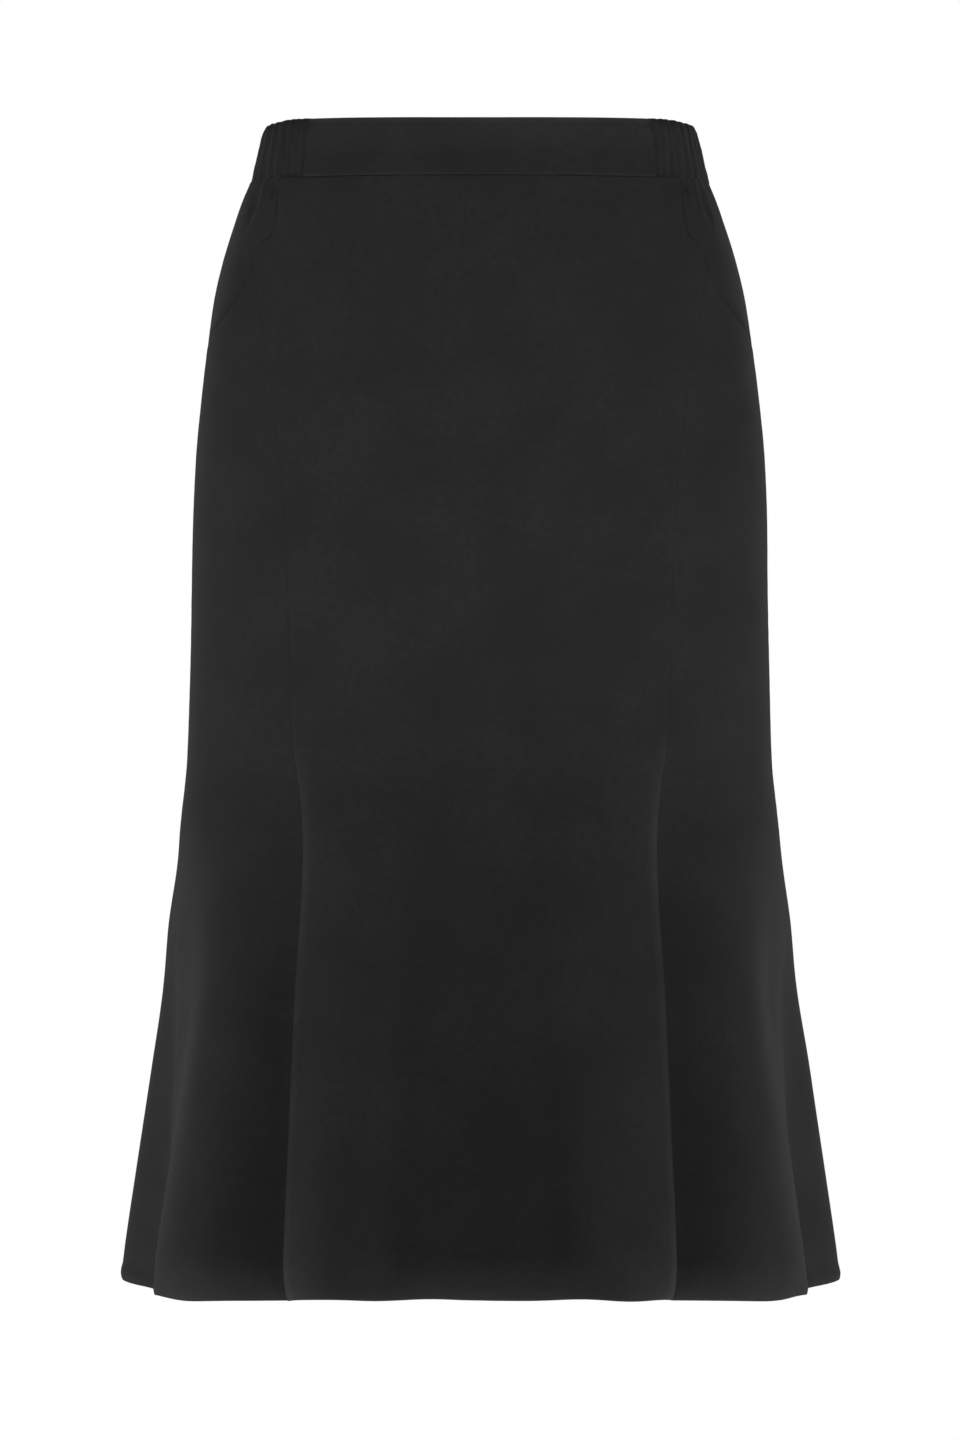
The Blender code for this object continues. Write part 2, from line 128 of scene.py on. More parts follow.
# %% Seams, as distances from the centre plane, with the pocket mouth and the hem
Seam = namedtuple("Seam", "drop front back")
SEAMS = rows_of(
    Seam, (-17, 112, 73), (17, 117.4, 76), (51.6, 123.3, 85), (54.9, 128.7, 86), (61.8, 133.5, 88),
    (67.8, 134.1, 89), (104, 128.3, 96), (161, 120.2, 102.5), (218, 114.9, 105), (266, 112.8, 105),
    (326, 111.8, 104), (352, 110.2, 103), (386, 106.2, 104), (410, 105.2, 106), (434, 106.2, 108),
    (494, 110.1, 115), (566, 113.5, 125), (626, 116.2, 133), (680, 117.6, 140))
Mouth = namedtuple("Mouth", "share drop")
MOUTH_CORNER = 67.8
MOUTH = rows_of(Mouth, (0, MOUTH_CORNER), (0.145, 82.2), (0.31, 92), (0.62, 105.5), (1, 118))
Hem = namedtuple("Hem", "angle drop")
HEM = rows_of(Hem, (0, 673), (27, 674.8), (41, 676.2), (60, 678.8), (76, 679.2), (92, 681.8),
              (99, 679.8), (105, 676.8), (112, 674.6), (180, 676))
HEM_NOMINAL, HEM_STARTS = 680.0, 565.0
HEM_WAVES = [(14, 0.21, 0.40), (23, 2.4, 0.18), (5, 1.1, 0.22)]     # turns, phase, height
print(len(RINGS), "rings,", len(FLUTES), "flutes and", len(SEAMS), "places on the seams")


# %% [markdown]
# ## Smooth curves through the tables
# Straight lines between the rows of a table would show as kinks in the cloth, and an ordinary spline
# would swing past the values where they change quickly. These cubics never overshoot, and they are
# written for many points at once, because a cloth mesh has tens of thousands of them.
# %% Cubics that never overshoot
def end_slope(step, next_step, rise, next_rise):
    slope = ((2 * step + next_step) * rise - step * next_rise) / (step + next_step)
    slope = np.where(slope * rise <= 0, 0.0, slope)
    return np.where((rise * next_rise < 0) & (abs(slope) > 3 * abs(rise)), 3 * rise, slope)


def smooth(xs, ys, x):
    """One curve for each row of xs and ys, read at the places in the same row of x."""
    xs, ys, x = (np.atleast_2d(np.asarray(values, float)) for values in (xs, ys, x))
    step = np.diff(xs)
    rise = np.diff(ys) / step
    near, far = 2 * step[:, 1:] + step[:, :-1], step[:, 1:] + 2 * step[:, :-1]
    with np.errstate(divide="ignore", invalid="ignore"):
        middle = (near + far) / (near / rise[:, :-1] + far / rise[:, 1:])
    middle = np.where(rise[:, :-1] * rise[:, 1:] > 0, middle, 0.0)
    first = end_slope(step[:, 0], step[:, 1], rise[:, 0], rise[:, 1])
    last = end_slope(step[:, -1], step[:, -2], rise[:, -1], rise[:, -2])
    slopes = np.hstack([first[:, None], middle, last[:, None]])
    at = (x[..., None] > xs[:, None, 1:-1]).sum(-1)
    read = lambda table, place: np.take_along_axis(table, place, 1)
    left, width = read(xs, at), read(step, at)
    low, high = read(ys, at), read(ys, at + 1)
    t = (x - left) / width
    bend_in = read(slopes, at) * width - (high - low)
    bend_out = (high - low) - read(slopes, at + 1) * width
    return low + t * (high - low) + t * (1 - t) * (bend_in * (1 - t) + bend_out * t)


def curve(table, along, name, x):
    """One column of a table against another, as a smooth curve read at every x."""
    xs, ys = ([getattr(row, column) for row in table] for column in (along, name))
    return smooth(xs, ys, x.ravel()).reshape(x.shape)


# %% Short forms of what is worked out again and again
def smooth_step(low, high, x):
    t = np.clip((np.asarray(x, float) - low) / (high - low), 0, 1)
    return t * t * (3 - 2 * t)


def mix(near, far, share):
    return near + (far - near) * share


def bell(away, width):
    """1 in the middle of a soft hump, and nearly gone at twice its width."""
    return np.exp(-((away / width) ** 2))


def half(angle):
    """Both sides of the skirt are alike, so every angle folds onto 0 to 180."""
    angle = np.mod(angle, 360.0)
    return np.minimum(angle, 360.0 - angle)


def turned(angle, start):
    """How far an angle lies from another one, the short way round."""
    return (angle - start + 180) % 360 - 180


# %% Every column of the tables, read once for each millimetre of drop
DROPS = np.arange(-BAND_HALF, HEM_NOMINAL + 1, 1.0)
COLUMNS = {name: curve(table, "drop", name, DROPS)
           for table, kind in ((RINGS, Ring), (FLUTES, Flute)) for name in kind._fields[1:]}


def row_at(drop, kind):
    """A whole Ring or Flute, as it is at each drop."""
    return kind(drop, *(np.interp(drop, DROPS, COLUMNS[name]) for name in kind._fields[1:]))


def ring_radius(drop, angle):
    ring = row_at(drop, Ring)
    turn = np.radians(angle)
    depth = np.where(np.cos(turn) > 0, ring.front, ring.back)
    across, along = np.sin(turn) / ring.half_width, np.abs(np.cos(turn)) / depth
    return (np.abs(across) ** ring.power + along ** ring.power) ** (-1 / ring.power)


# %% Where the seams, the hem and the pocket mouth run
FRONT_LIMIT, BACK_LIMIT = 84.0, 96.0        # no seam but the side seam lies between these angles


def angle_where(drop, distance, dip, inner, outer):
    """The girth angle, between inner and outer, where the cloth lies this far from the centre plane."""
    inner, outer = np.full_like(drop, inner), np.full_like(drop, outer)
    for _ in range(40):
        middle = (inner + outer) / 2
        short = (ring_radius(drop, middle) + dip) * np.sin(np.radians(middle)) < distance
        inner, outer = np.where(short, middle, inner), np.where(short, outer, middle)
    return (inner + outer) / 2


FRONT_SEAM, BACK_SEAM = (
    angle_where(DROPS, curve(SEAMS, "drop", name, DROPS), COLUMNS[name + "_seam"], inner, outer)
    for name, inner, outer in (("front", 0.0, FRONT_LIMIT), ("back", 180.0, BACK_LIMIT)))


def front_seam(drop):
    return np.interp(drop, DROPS, FRONT_SEAM)


def back_seam(drop):
    return np.interp(drop, DROPS, BACK_SEAM)


def side_seam(drop):
    return SIDE_ANGLE + 0 * np.asarray(drop, float)


def hem_drop(angle):
    waves = sum(height * np.sin(turns * np.radians(angle) + phase) for turns, phase, height in HEM_WAVES)
    return curve(HEM, "angle", "drop", half(angle)) + waves


def mouth_drop(share):
    return curve(MOUTH, "share", "drop", np.clip(share, 0, 1))


print("front seam turns from", front_seam(0).round(1), "to", FRONT_SEAM[-1].round(1), "degrees")


# %% [markdown]
# ## The surface itself
# A radius at each drop and angle gives the cloth, and two short steps along it give the direction in
# which it faces. At a seam the two gores face different ways, so their edges move along the line between
# those directions, as mitred corners do, and meet without a gap.
# %% Points and directions on the cloth
def skirt_radius(drop, angle):
    drop, angle = np.broadcast_arrays(np.asarray(drop, float), half(np.asarray(angle, float)))
    shape = drop.shape
    drop, angle = drop.ravel(), angle.ravel()
    dip, front, back = row_at(drop, Flute), front_seam(drop), back_seam(drop)

    def through(*knots):
        """A smooth curve through pairs of an angle and a height, read at every angle."""
        angles, heights = (np.stack([value + 0 * drop for value in values], 1) for values in zip(*knots))
        return smooth(angles, heights, angle[:, None])[:, 0]

    in_front = through((-front, dip.front_seam), (-PANEL_ANGLE, dip.panel), (0, 0),
                       (PANEL_ANGLE, dip.panel), (front, dip.front_seam))
    at_side = through((front, dip.front_seam), (np.maximum(FOLD_ANGLE, front + 1), dip.fold),
                      (EDGE_ANGLE, dip.edge), (SIDE_VALLEY_ANGLE, dip.side), (FLUTE_ANGLE, dip.flute),
                      (back, dip.back_seam))
    behind = through((back, dip.back_seam), (180 - PANEL_ANGLE, dip.panel), (180, 0),
                     (180 + PANEL_ANGLE, dip.panel), (360 - back, dip.back_seam))
    flute = np.where(angle <= front, in_front, np.where(angle <= back, at_side, behind))
    return (ring_radius(drop, angle) + flute).reshape(shape)


def skirt_point(drop, angle):
    radius, turn = skirt_radius(drop, angle), np.radians(angle)
    height = -np.asarray(drop, float) + 0 * turn
    return np.stack([radius * np.sin(turn), -radius * np.cos(turn), height], -1)


def unit(vectors):
    return vectors / np.linalg.norm(vectors, axis=-1, keepdims=True)


def facing(drop, angle, turn=0.05, fall=1.0):
    around = skirt_point(drop, angle + turn) - skirt_point(drop, angle - turn)
    down = skirt_point(drop + fall, angle) - skirt_point(drop - fall, angle)
    return unit(np.cross(down, around))


# %% [markdown]
# ## Black crepe
# Crepe is woven from hard-twisted yarns that shrink into a fine, dry, pebbly face, so black crepe is
# deep and matt, and only gleams a little where it is seen nearly edge on. Pictures of cloth could be
# wrapped on, but they repeat and blur. These nodes draw the pebble from noise on Object coordinates, the
# yarns from the piece's own UV map, which is laid out in real millimetres along the grain, and a painted
# highlight, a lighter base colour along thick seam edges and over the band's top, from an attribute of
# the piece's points.
# %% Helpers that wire nodes
def fill(tree, node, inputs):
    """Fills a node's sockets with values or with other nodes' outputs."""
    for name, value in inputs.items():
        if isinstance(value, bpy.types.NodeSocket):
            tree.links.new(value, node.inputs[name])
        else:
            node.inputs[name].default_value = value


def wire(tree, kind, inputs=(), **settings):
    """Adds a node, sets its properties and fills its sockets."""
    node = tree.nodes.new(kind)
    for name, value in settings.items():
        setattr(node, name, value)
    fill(tree, node, dict(inputs))
    return node


def sums(tree, operation, *values):
    return wire(tree, "ShaderNodeMath", dict(enumerate(values)), operation=operation).outputs[0]


def ranged(tree, value, limits):
    """Stretches a value over new limits, which are named as the node's own sockets are."""
    return wire(tree, "ShaderNodeMapRange", {"Value": value, **limits}).outputs[0]


def noise(tree, place, scale, detail, dimensions="3D"):
    return wire(tree, "ShaderNodeTexNoise", {"Vector": place, "Scale": scale, "Detail": detail},
                noise_dimensions=dimensions).outputs["Fac"]


def new_material(name):
    material = bpy.data.materials.new(name)
    material.use_nodes = True
    return material, material.node_tree, material.node_tree.nodes["Principled BSDF"]


# %% The crepe
CREPE_DARK, CREPE_LIGHT = (0.0185, 0.0185, 0.0187, 1), (0.0225, 0.0225, 0.0227, 1)
PEBBLE_SCALE, SLUB_SCALE, CLOUD_SCALE = 900.0, 260.0, 24.0
YARN_PITCH = 0.42
WAVE_LENGTH = 2 * math.pi / 20      # the length of one wave of the Wave Texture at a scale of 1
PAINTED_LIGHT_GAIN = 0.45      # painted highlight: how much lighter the base colour is painted along thick seam edges and the band's top
COLOUR_A, COLOUR_B, COLOUR_OUT = 6, 7, 2    # the Mix node's sockets for colours, among those of one name


def crepe(name):
    material, tree, shader = new_material(name)
    place = wire(tree, "ShaderNodeTexCoord").outputs
    cloud = noise(tree, place["Object"], CLOUD_SCALE, 3.0)
    slub = noise(tree, place["Object"], SLUB_SCALE, 2.0)
    pebble = noise(tree, place["Object"], PEBBLE_SCALE, 2.0)
    yarns = [wire(tree, "ShaderNodeTexWave",
                  {"Vector": place["UV"], "Scale": WAVE_LENGTH / YARN_PITCH, "Distortion": 1.5,
                   "Detail": 1.0, "Detail Scale": 0.6},
                  wave_type="BANDS", bands_direction=direction).outputs["Fac"] for direction in "XY"]
    grain = sums(tree, "ADD", pebble, sums(tree, "MULTIPLY", *yarns))
    spread = ranged(tree, sums(tree, "MULTIPLY", cloud, slub), {"From Min": 0.16, "From Max": 0.36})
    colour = wire(tree, "ShaderNodeMix", {"Factor": spread, COLOUR_A: CREPE_DARK, COLOUR_B: CREPE_LIGHT},
                  data_type="RGBA")
    # painted highlight: a point attribute lightens the base colour along thick seam edges and over the
    # band's top
    painted_light = wire(tree, "ShaderNodeAttribute", attribute_name="painted_light")
    lighter = sums(tree, "MULTIPLY_ADD", painted_light.outputs["Fac"], PAINTED_LIGHT_GAIN, 1.0)
    painted_lit_colour = wire(tree, "ShaderNodeVectorMath", {0: colour.outputs[COLOUR_OUT], "Scale": lighter},
                 operation="SCALE")
    relief = wire(tree, "ShaderNodeBump", {"Height": grain, "Strength": 0.35, "Distance": 0.12 * MM})
    rough = ranged(tree, slub, {"From Min": 0.3, "From Max": 0.7, "To Min": 0.82, "To Max": 0.95})
    fill(tree, shader, {
        "Base Color": painted_lit_colour.outputs[0], "Roughness": rough, "Normal": relief.outputs[0], "Metallic": 0.0,
        "Specular IOR Level": 0.06, "Sheen Weight": 0.02, "Sheen Roughness": 0.5,
        "Sheen Tint": (1, 1, 1, 1)})
    print(f"{name}: {len(tree.nodes)} nodes")
    return material


body_crepe, band_crepe = crepe("body_crepe"), crepe("band_crepe")


# %% Sewing thread, a little glossier than the cloth
def thread(name):
    material, tree, shader = new_material(name)
    place = wire(tree, "ShaderNodeTexCoord")
    twist = wire(tree, "ShaderNodeTexWave", {"Vector": place.outputs["Object"], "Scale": 700.0},
                 wave_type="BANDS", bands_direction="DIAGONAL").outputs["Fac"]
    relief = wire(tree, "ShaderNodeBump", {"Height": twist, "Strength": 0.4, "Distance": 0.05 * MM})
    fill(tree, shader, {
        "Base Color": (0.018, 0.018, 0.019, 1), "Normal": relief.outputs[0], "Specular IOR Level": 0.2,
        "Roughness": ranged(tree, twist, {"To Min": 0.45, "To Max": 0.6})})
    print(f"{name}: {len(tree.nodes)} nodes")
    return material


black_thread = thread("black_thread")


# %% [markdown]
# ## Gathers and creases
# Where cloth is sewn to elastic it ruffles: each gather starts sharp at the seam and dies out at its own
# length. A cloth simulation could find such folds, but it changes with every setting. Here each gather
# is a trough with a place, depth, width and length drawn with a fixed seed, and the larger creases are
# laid from a table, softer and shallower ones at the back, where the cloth hangs free.
# %% Where the elastic's gathers fall
FLAT_END_TOP, FLAT_END_BOTTOM = 101.5, 104.5        # from the centre plane to the flat front's end
GATHERS_ROUND = 72
END_WIDTHS = [0.7, 0.7, 0.8, 1.35]      # tight beside the flat front
WAIST_RADIUS, MIDDLING_RADIUS = 140.0, 150.0        # these turn an angle into a length


def flat_end(drop):
    """The girth angle where the flat front of the waistband ends."""
    drop = np.atleast_1d(np.asarray(drop, float))
    reach = mix(FLAT_END_TOP, FLAT_END_BOTTOM, 0.5 + drop / (2 * BAND_HALF))
    return angle_where(drop, reach, 0.0, 0.0, FRONT_LIMIT)


gather_widths = np.random.default_rng(23).uniform(0.45, 1.55, GATHERS_ROUND)
gather_widths[:4], gather_widths[-4:] = END_WIDTHS, END_WIDTHS[::-1]
VALLEYS = np.concatenate([[0.0], np.cumsum(gather_widths)])
VALLEYS /= VALLEYS[-1]
CASING_START = float(flat_end(BAND_HALF)[0])
CASING_SWEEP = 360 - 2 * CASING_START


def gather_count(share):
    """How many gathers lie before this share of the way round: a whole number in each valley."""
    return np.interp(share, VALLEYS, np.arange(len(VALLEYS)))


# %% Gathers below the elastic
Gather = namedtuple("Gather", "angle depth width length lean")
RUFFLE_HEIGHT, RUFFLE_FADE = 0.75, 9.0
RIDGE_POWER, RIDGE_MIDDLE = 2.6, 0.7        # how full a ridge is, and the height that it swings about
GATHER_DEPTHS, GATHER_LENGTHS, FEW_LONG = (0.25, 1.2), (12, 92), 2.2   # a high power makes long ones rare
GATHER_WIDTHS, GATHER_LEANS = (1.8, 3.2), (-0.06, 0.06)
GATHER_RISES, GATHER_WIDENS = (-1, 9), 45.0     # how far below the band it starts, and doubles its width


def long_gathers(seed=11):
    chance = np.random.default_rng(seed)
    gathers = []
    for valley in VALLEYS[1:-1]:
        long = chance.uniform() ** FEW_LONG
        gathers.append(Gather(CASING_START + CASING_SWEEP * valley, mix(*GATHER_DEPTHS, long),
                              chance.uniform(*GATHER_WIDTHS), mix(*GATHER_LENGTHS, long),
                              chance.uniform(*GATHER_LEANS)))
    return gathers


GATHERS = long_gathers()


def gather_relief(drop, angle):
    """The short ruffle right under the band, and the long gathers, which widen as they fade."""
    below = np.maximum(drop - BAND_HALF, 0)
    share = (np.mod(angle, 360) - CASING_START) / CASING_SWEEP
    inside = smooth_step(-0.001, 0.012, share) * smooth_step(1.001, 0.988, share)
    ridge = 1 - np.abs(2 * np.mod(gather_count(np.clip(share, 0, 1)), 1) - 1) ** RIDGE_POWER
    relief = inside * RUFFLE_HEIGHT * (ridge - RIDGE_MIDDLE) * np.exp(-below / RUFFLE_FADE)
    for gather in GATHERS:
        away = np.radians(turned(angle, gather.angle)) * WAIST_RADIUS - gather.lean * below
        fade = np.clip(1 - below / gather.length, 0, 1) ** 1.5 * smooth_step(*GATHER_RISES, below)
        relief = relief - gather.depth * bell(away, gather.width * (1 + below / GATHER_WIDENS)) * fade
    return relief


print(len(GATHERS), "gathers, the longest", round(max(g.length for g in GATHERS)), "mm")

# %% Creases laid one by one, each a trough from one place to another
Crease = namedtuple("Crease", "drop angle end_drop end_angle width depth")
CREASES = rows_of(
    Crease, (15, 61.6, 23, 62.0, 2.4, 2.4), (27, 69, 37, 70, 4.0, 1.8),
    (15, 298.4, 24, 298.0, 2.4, 2.2), (28, 291, 38, 290, 4.0, 1.9),
    (126, 84, 170, 60, 7.0, 0.5), (122, 277, 160, 300, 6.0, 0.45),
    (350, 62, 395, 52, 12.0, 0.6), (352, 297, 398, 309, 12.0, 0.6),
    (360, 118, 420, 112, 14.0, 0.8), (356, 241, 424, 248, 14.0, 0.8),
    (205, 160, 245, 196, 16.0, 0.7), (250, 205, 228, 228, 13.0, 0.6), (235, 150, 262, 128, 13.0, 0.6),
    (330, 150, 372, 138, 14.0, 0.8), (336, 212, 376, 224, 14.0, 0.7), (470, 172, 660, 168, 22.0, 1.6),
    (500, 196, 664, 201, 20.0, 1.4), (60, 172, 150, 176, 9.0, 0.7), (50, 205, 120, 200, 8.0, 0.7),
    (48, 232, 104, 229, 7.0, 0.6), (52, 128, 118, 133, 8.0, 0.6))
SEWN_DOWN, HELD_BACK = (24, 17), 0.6        # by the band its seam holds back this much of a crease


def crease_relief(drop, angle):
    relief = np.zeros_like(drop)
    for crease in CREASES:
        side = np.radians(turned(angle, crease.angle)) * MIDDLING_RADIUS
        run = np.radians(crease.end_angle - crease.angle) * MIDDLING_RADIUS
        fall = crease.end_drop - crease.drop
        length = math.hypot(run, fall)
        along = (side * run + (drop - crease.drop) * fall) / length
        across = (side * fall - (drop - crease.drop) * run) / length
        ends = smooth_step(-2 * crease.width, crease.width, along)
        ends = ends * smooth_step(-2 * crease.width, crease.width, length - along)
        relief -= crease.depth * bell(across, crease.width) * ends
    return relief * (1 - HELD_BACK * smooth_step(*SEWN_DOWN, drop))


# %% The flare's soft ridges, which rise from one drop to another
Form = namedtuple("Form", "angle inner outer starts ends height")      # inner is its width to the front
FLARE_FORMS = rows_of(Form, (16, 8, 7.5, 370, 510, 4.5), (57, 7.5, 13, 370, 530, 7.0),
                      (72, 10, 10, 560, 690, 4.0), (91, 6, 6, 430, 580, 3.8))
SEAM_VALLEY = Form(0, 3.6, 5, 345, 460, -3.4)      # its angle is the front seam's own


def flare_relief(drop, angle):
    """The ridges are soft on both sides, and the valley comes to a sharp edge at the seam."""
    relief = np.zeros_like(drop)
    for form in FLARE_FORMS:
        away = half(angle) - form.angle
        shape = bell(away, np.where(away < 0, form.inner, form.outer))
        relief += form.height * smooth_step(form.starts, form.ends, drop) * shape
    valley = SEAM_VALLEY
    away = half(angle) - front_seam(drop)
    shape = np.where(away < 0, np.exp(away / valley.inner), bell(away, valley.outer))
    return relief + valley.height * smooth_step(valley.starts, valley.ends, drop) * shape


# %% The slight unevenness of any hanging cloth
Swell = namedtuple("Swell", "turns fall phase height")
SWELLS = rows_of(Swell, (3, 0.9, 0.4, 0.16), (7, -1.6, 1.9, 0.12), (11, 2.3, 4.1, 0.10),
                 (5, 3.1, 2.6, 0.10), (17, -3.3, 0.9, 0.05), (23, 4.7, 5.2, 0.04))
FLARE_SWELLS = rows_of(Swell, (13, 0.25, 0.7, 0.5), (19, -0.2, 2.2, 0.35))
FLARE_RISES = (420, 680)        # the drops between which those of the flare grow in
SWELL_FALL = 60.0       # the drop over which a swell runs on by its fall


def swell_relief(swells, drop, angle):
    turn = np.radians(angle)
    return sum(s.height * np.sin(s.turns * turn + s.fall * drop / SWELL_FALL + s.phase) for s in swells)


def cloth_relief(drop, angle):
    uneven = swell_relief(SWELLS, drop, angle)
    uneven = uneven + smooth_step(*FLARE_RISES, drop) * swell_relief(FLARE_SWELLS, drop, angle)
    return gather_relief(drop, angle) + crease_relief(drop, angle) + flare_relief(drop, angle) + uneven


print(len(CREASES), "creases,", len(FLARE_FORMS), "ridges a side,", len(SWELLS + FLARE_SWELLS), "swells")

# %% [markdown]
# ## Cutting a gore
# A gore is two sheets of points, the face of the cloth and its inside, joined round the edge into one
# thin closed shell. Rows and columns crowd together at seams and hem, because that is where the cloth
# rolls in within a millimetre, and stay wide elsewhere, so that the mesh is spent where it shows. Inside,
# the pressed-open seam allowances and the turned-up hem make the cloth twice as thick.
# %% Where the columns and rows go
EDGE_STEPS = [0.0, 0.12, 0.35, 0.7, 1.1, 1.8, 3.0, 5.0, 8.0, 10.5, 12.5]
HEM_STEPS = [0.0, 0.12, 0.35, 0.7, 1.1, 2.0, 4.0, 7.0, 10.5, 14.0, 17.5, 21.0, 24.0, 25.2, 27.0, 30.0]
TOP_STEPS = [0.0, 0.15, 0.4, 0.8, 1.3, 2.4, 4.5]
GORE_TOP, TUCKED_UP = 16.9, 2.0      # where the cloth goes in under the band, and how much is inside it
LEVEL_FROM, FINE_ROWS, COARSE_ROWS = 130.0, 3.0, 5.0        # rows are fine above, and level below


def shares_across(width, pitch=3.2):
    """Columns for a gore of about this width, as shares of it."""
    edge = np.array(EDGE_STEPS)
    middle = np.linspace(edge[-1], width - edge[-1], max(3, round((width - 2 * edge[-1]) / pitch) + 1))
    return np.concatenate([edge, middle[1:-1], (width - edge)[::-1]]) / width


def drops_down(top):
    head = top + np.array(([-TUCKED_UP] if top == GORE_TOP else []) + TOP_STEPS)
    hem = HEM_NOMINAL - np.array(HEM_STEPS)[::-1]
    high = np.arange(head[-1] + FINE_ROWS, LEVEL_FROM, FINE_ROWS)
    low = np.arange(LEVEL_FROM, hem[0] - COARSE_ROWS / 2, COARSE_ROWS)
    return np.concatenate([head, high, low, hem])


def at_hem(row, hem):
    """A row's true drop where the hem hangs at this drop."""
    share = (row - HEM_STARTS) / (HEM_NOMINAL - HEM_STARTS)
    return np.where(row <= HEM_STARTS, row, HEM_STARTS + share * (hem - HEM_STARTS))


# %% A cloth object, and a closed shell from two sheets of points
def point_values(mesh, label, kind, values):
    layer = mesh.attributes.new(label, kind, "POINT")
    values = np.ascontiguousarray(values, dtype=np.float32).ravel()
    layer.data.foreach_set("vector" if kind == "FLOAT_VECTOR" else "value", values)


def quads(*corners):
    return np.stack([corner.ravel() for corner in corners], 1)


def cloth_object(name, points, faces, grain, material, painted_light=None):
    """points and grain, the UV map, are in mm. The last argument is the painted highlight: how much
    lighter each point's base colour is painted.
    """
    mesh = bpy.data.meshes.new(name)
    mesh.from_pydata((points.reshape(-1, 3) * MM).tolist(), [], faces)
    corners = [corner for face in faces for corner in face]
    mesh.uv_layers.new(name="grain").data.foreach_set("uv", grain.reshape(-1, 2)[corners].ravel())
    if painted_light is not None:
        point_values(mesh, "painted_light", "FLOAT", painted_light)
    mesh.shade_smooth()
    mesh.materials.append(material)
    return link(bpy.data.objects.new(name, mesh))


def shell(name, outer, inner, across, painted_light):
    """outer and inner are rows by columns of points, and across is the UV map's other direction."""
    rows, columns = outer.shape[:2]
    near = np.arange(rows * columns).reshape(rows, columns)
    far = near + rows * columns
    face = quads(near[:-1, :-1], near[1:, :-1], near[1:, 1:], near[:-1, 1:])
    faces = np.concatenate([
        face, face[:, ::-1] + rows * columns,
        quads(near[0, :-1], near[0, 1:], far[0, 1:], far[0, :-1]),
        quads(near[-1, 1:], near[-1, :-1], far[-1, :-1], far[-1, 1:]),
        quads(near[1:, 0], near[:-1, 0], far[:-1, 0], far[1:, 0]),
        quads(near[:-1, -1], near[1:, -1], far[1:, -1], far[:-1, -1]),
    ])
    grain = np.stack([across, -outer[..., 2]], -1)
    return cloth_object(name, np.stack([outer, inner]), faces.tolist(), np.stack([grain, grain]),
                        body_crepe, np.stack([painted_light, 0 * painted_light]))


# %% Edges: how each side of a gore ends
CLOTH, THINNEST = 0.8, 0.25         # thickness of one layer, and of what is left of it in a rolled edge
ALLOWANCE, HEM_TURN = 10.0, 25.0
SEAM_ROLL, SEAM_DEPTH, SEAM_DEPTH_ON_HIPS = 0.95, 0.6, 0.24
WELT_ROLL, WELT_DEPTH, WELT_REACH = 3.0, 1.3, 7.0   # an edge raised by the allowances pressed under it
WELTS_RISE, PAINTED_LIGHT_WITHIN = (330, 430), (8.0, 1.2)     # by drop, and the painted highlight by distance from the edge
FOLD_ROLL, FOLD_DEPTH = 0.8, 0.72
TOP_ROLL, TOP_DEPTH, TOP_DEPTH_GATHERED = 1.2, 1.7, 0.25
HEM_CURL, HEM_CURL_HEIGHT, HEM_CURL_POWER = 7.0, 25.0, 2.2
FLUTE_CALM, BULGE_LEAST = 0.92, 0.3     # how much curl the side flutes lose, and the bulge away from them
HEM_CALM, HEM_CALM_ANGLE, HEM_CALM_SPREAD = 0.6, 28.0, 11.0     # it curls less beside the front seams
HEM_BULGE, HEM_BULGE_AT, HEM_BULGE_SPREAD = 0.9, 4.5, 3.2
SIDE_FLUTE_STARTS, SIDE_FLUTE_ENDS = (63, 79), (150, 125)
MITRE_REACH, PAST_SEAM = 4.0, 0.4       # in mm, and the degrees past a seam where the cloth's way is read
PUCKER, PUCKER_REACH, PUCKER_WAVE, PUCKER_WANDER = 0.10, 5.0, 2.1, 17.0
TUCKED_IN = 0.5     # how far in from the face lies what is tucked up inside the band


def rolled(distance, roll, depth):
    """How far cloth lies in where it rolls over within this distance of an edge."""
    t = np.clip(1 - distance / roll, 0, 1)
    return depth * (1 - np.sqrt(1 - t * t))


def doubled(distance, within, fade):
    """How thick the cloth is where a second layer lies under it within this distance of an edge."""
    return CLOTH + CLOTH * smooth_step(within + fade, within, distance)


def lengths_along(points):
    steps = np.linalg.norm(np.diff(points, axis=1), axis=2)
    return np.concatenate([np.zeros((len(points), 1)), np.cumsum(steps, axis=1)], axis=1)


def from_ends(length):
    return np.minimum(length, length[:, -1:] - length)


def toward(normal, mitre, distance):
    """Blends from the mitre at the edge to the cloth's own direction, and keeps the thickness."""
    share = smooth_step(0, MITRE_REACH, distance)[..., None]
    direction = unit(mitre * (1 - share) + normal * share)
    return direction / np.clip((direction * normal).sum(-1, keepdims=True), 0.5, 1)


def seam_mitre(drop, angle, side):
    """The direction between the two gores' own at their seam. side is -1 at a first edge, 1 at a last."""
    return unit(facing(drop, angle - PAST_SEAM * side) + facing(drop, angle + PAST_SEAM * side))


def welted(drop):
    """Seams lie flat over the hips, where the cloth is drawn tight, and stand up below."""
    return smooth_step(*WELTS_RISE, drop)


def seam_depth(drop, depth=SEAM_DEPTH):
    return mix(SEAM_DEPTH_ON_HIPS, depth, welted(drop))


def pucker(drop, distance, phase):
    """The thread draws a seam up a little, unevenly along its length."""
    wave = np.sin(drop / PUCKER_WAVE + 3 * np.sin(drop / PUCKER_WANDER + phase))
    return PUCKER * wave * np.exp(-distance / PUCKER_REACH)


def top_depth(angle):
    """The groove under the waistband is deepest below the flat front."""
    return mix(TOP_DEPTH_GATHERED, TOP_DEPTH, smooth_step(2, -1, half(angle) - flat_end(GORE_TOP)))


def tucked_in(relief, drop):
    """What goes up inside the waistband lies between its two faces."""
    inside = smooth_step(GORE_TOP, GORE_TOP - TUCKED_UP, drop)
    return relief * (1 - inside) - TUCKED_IN * inside


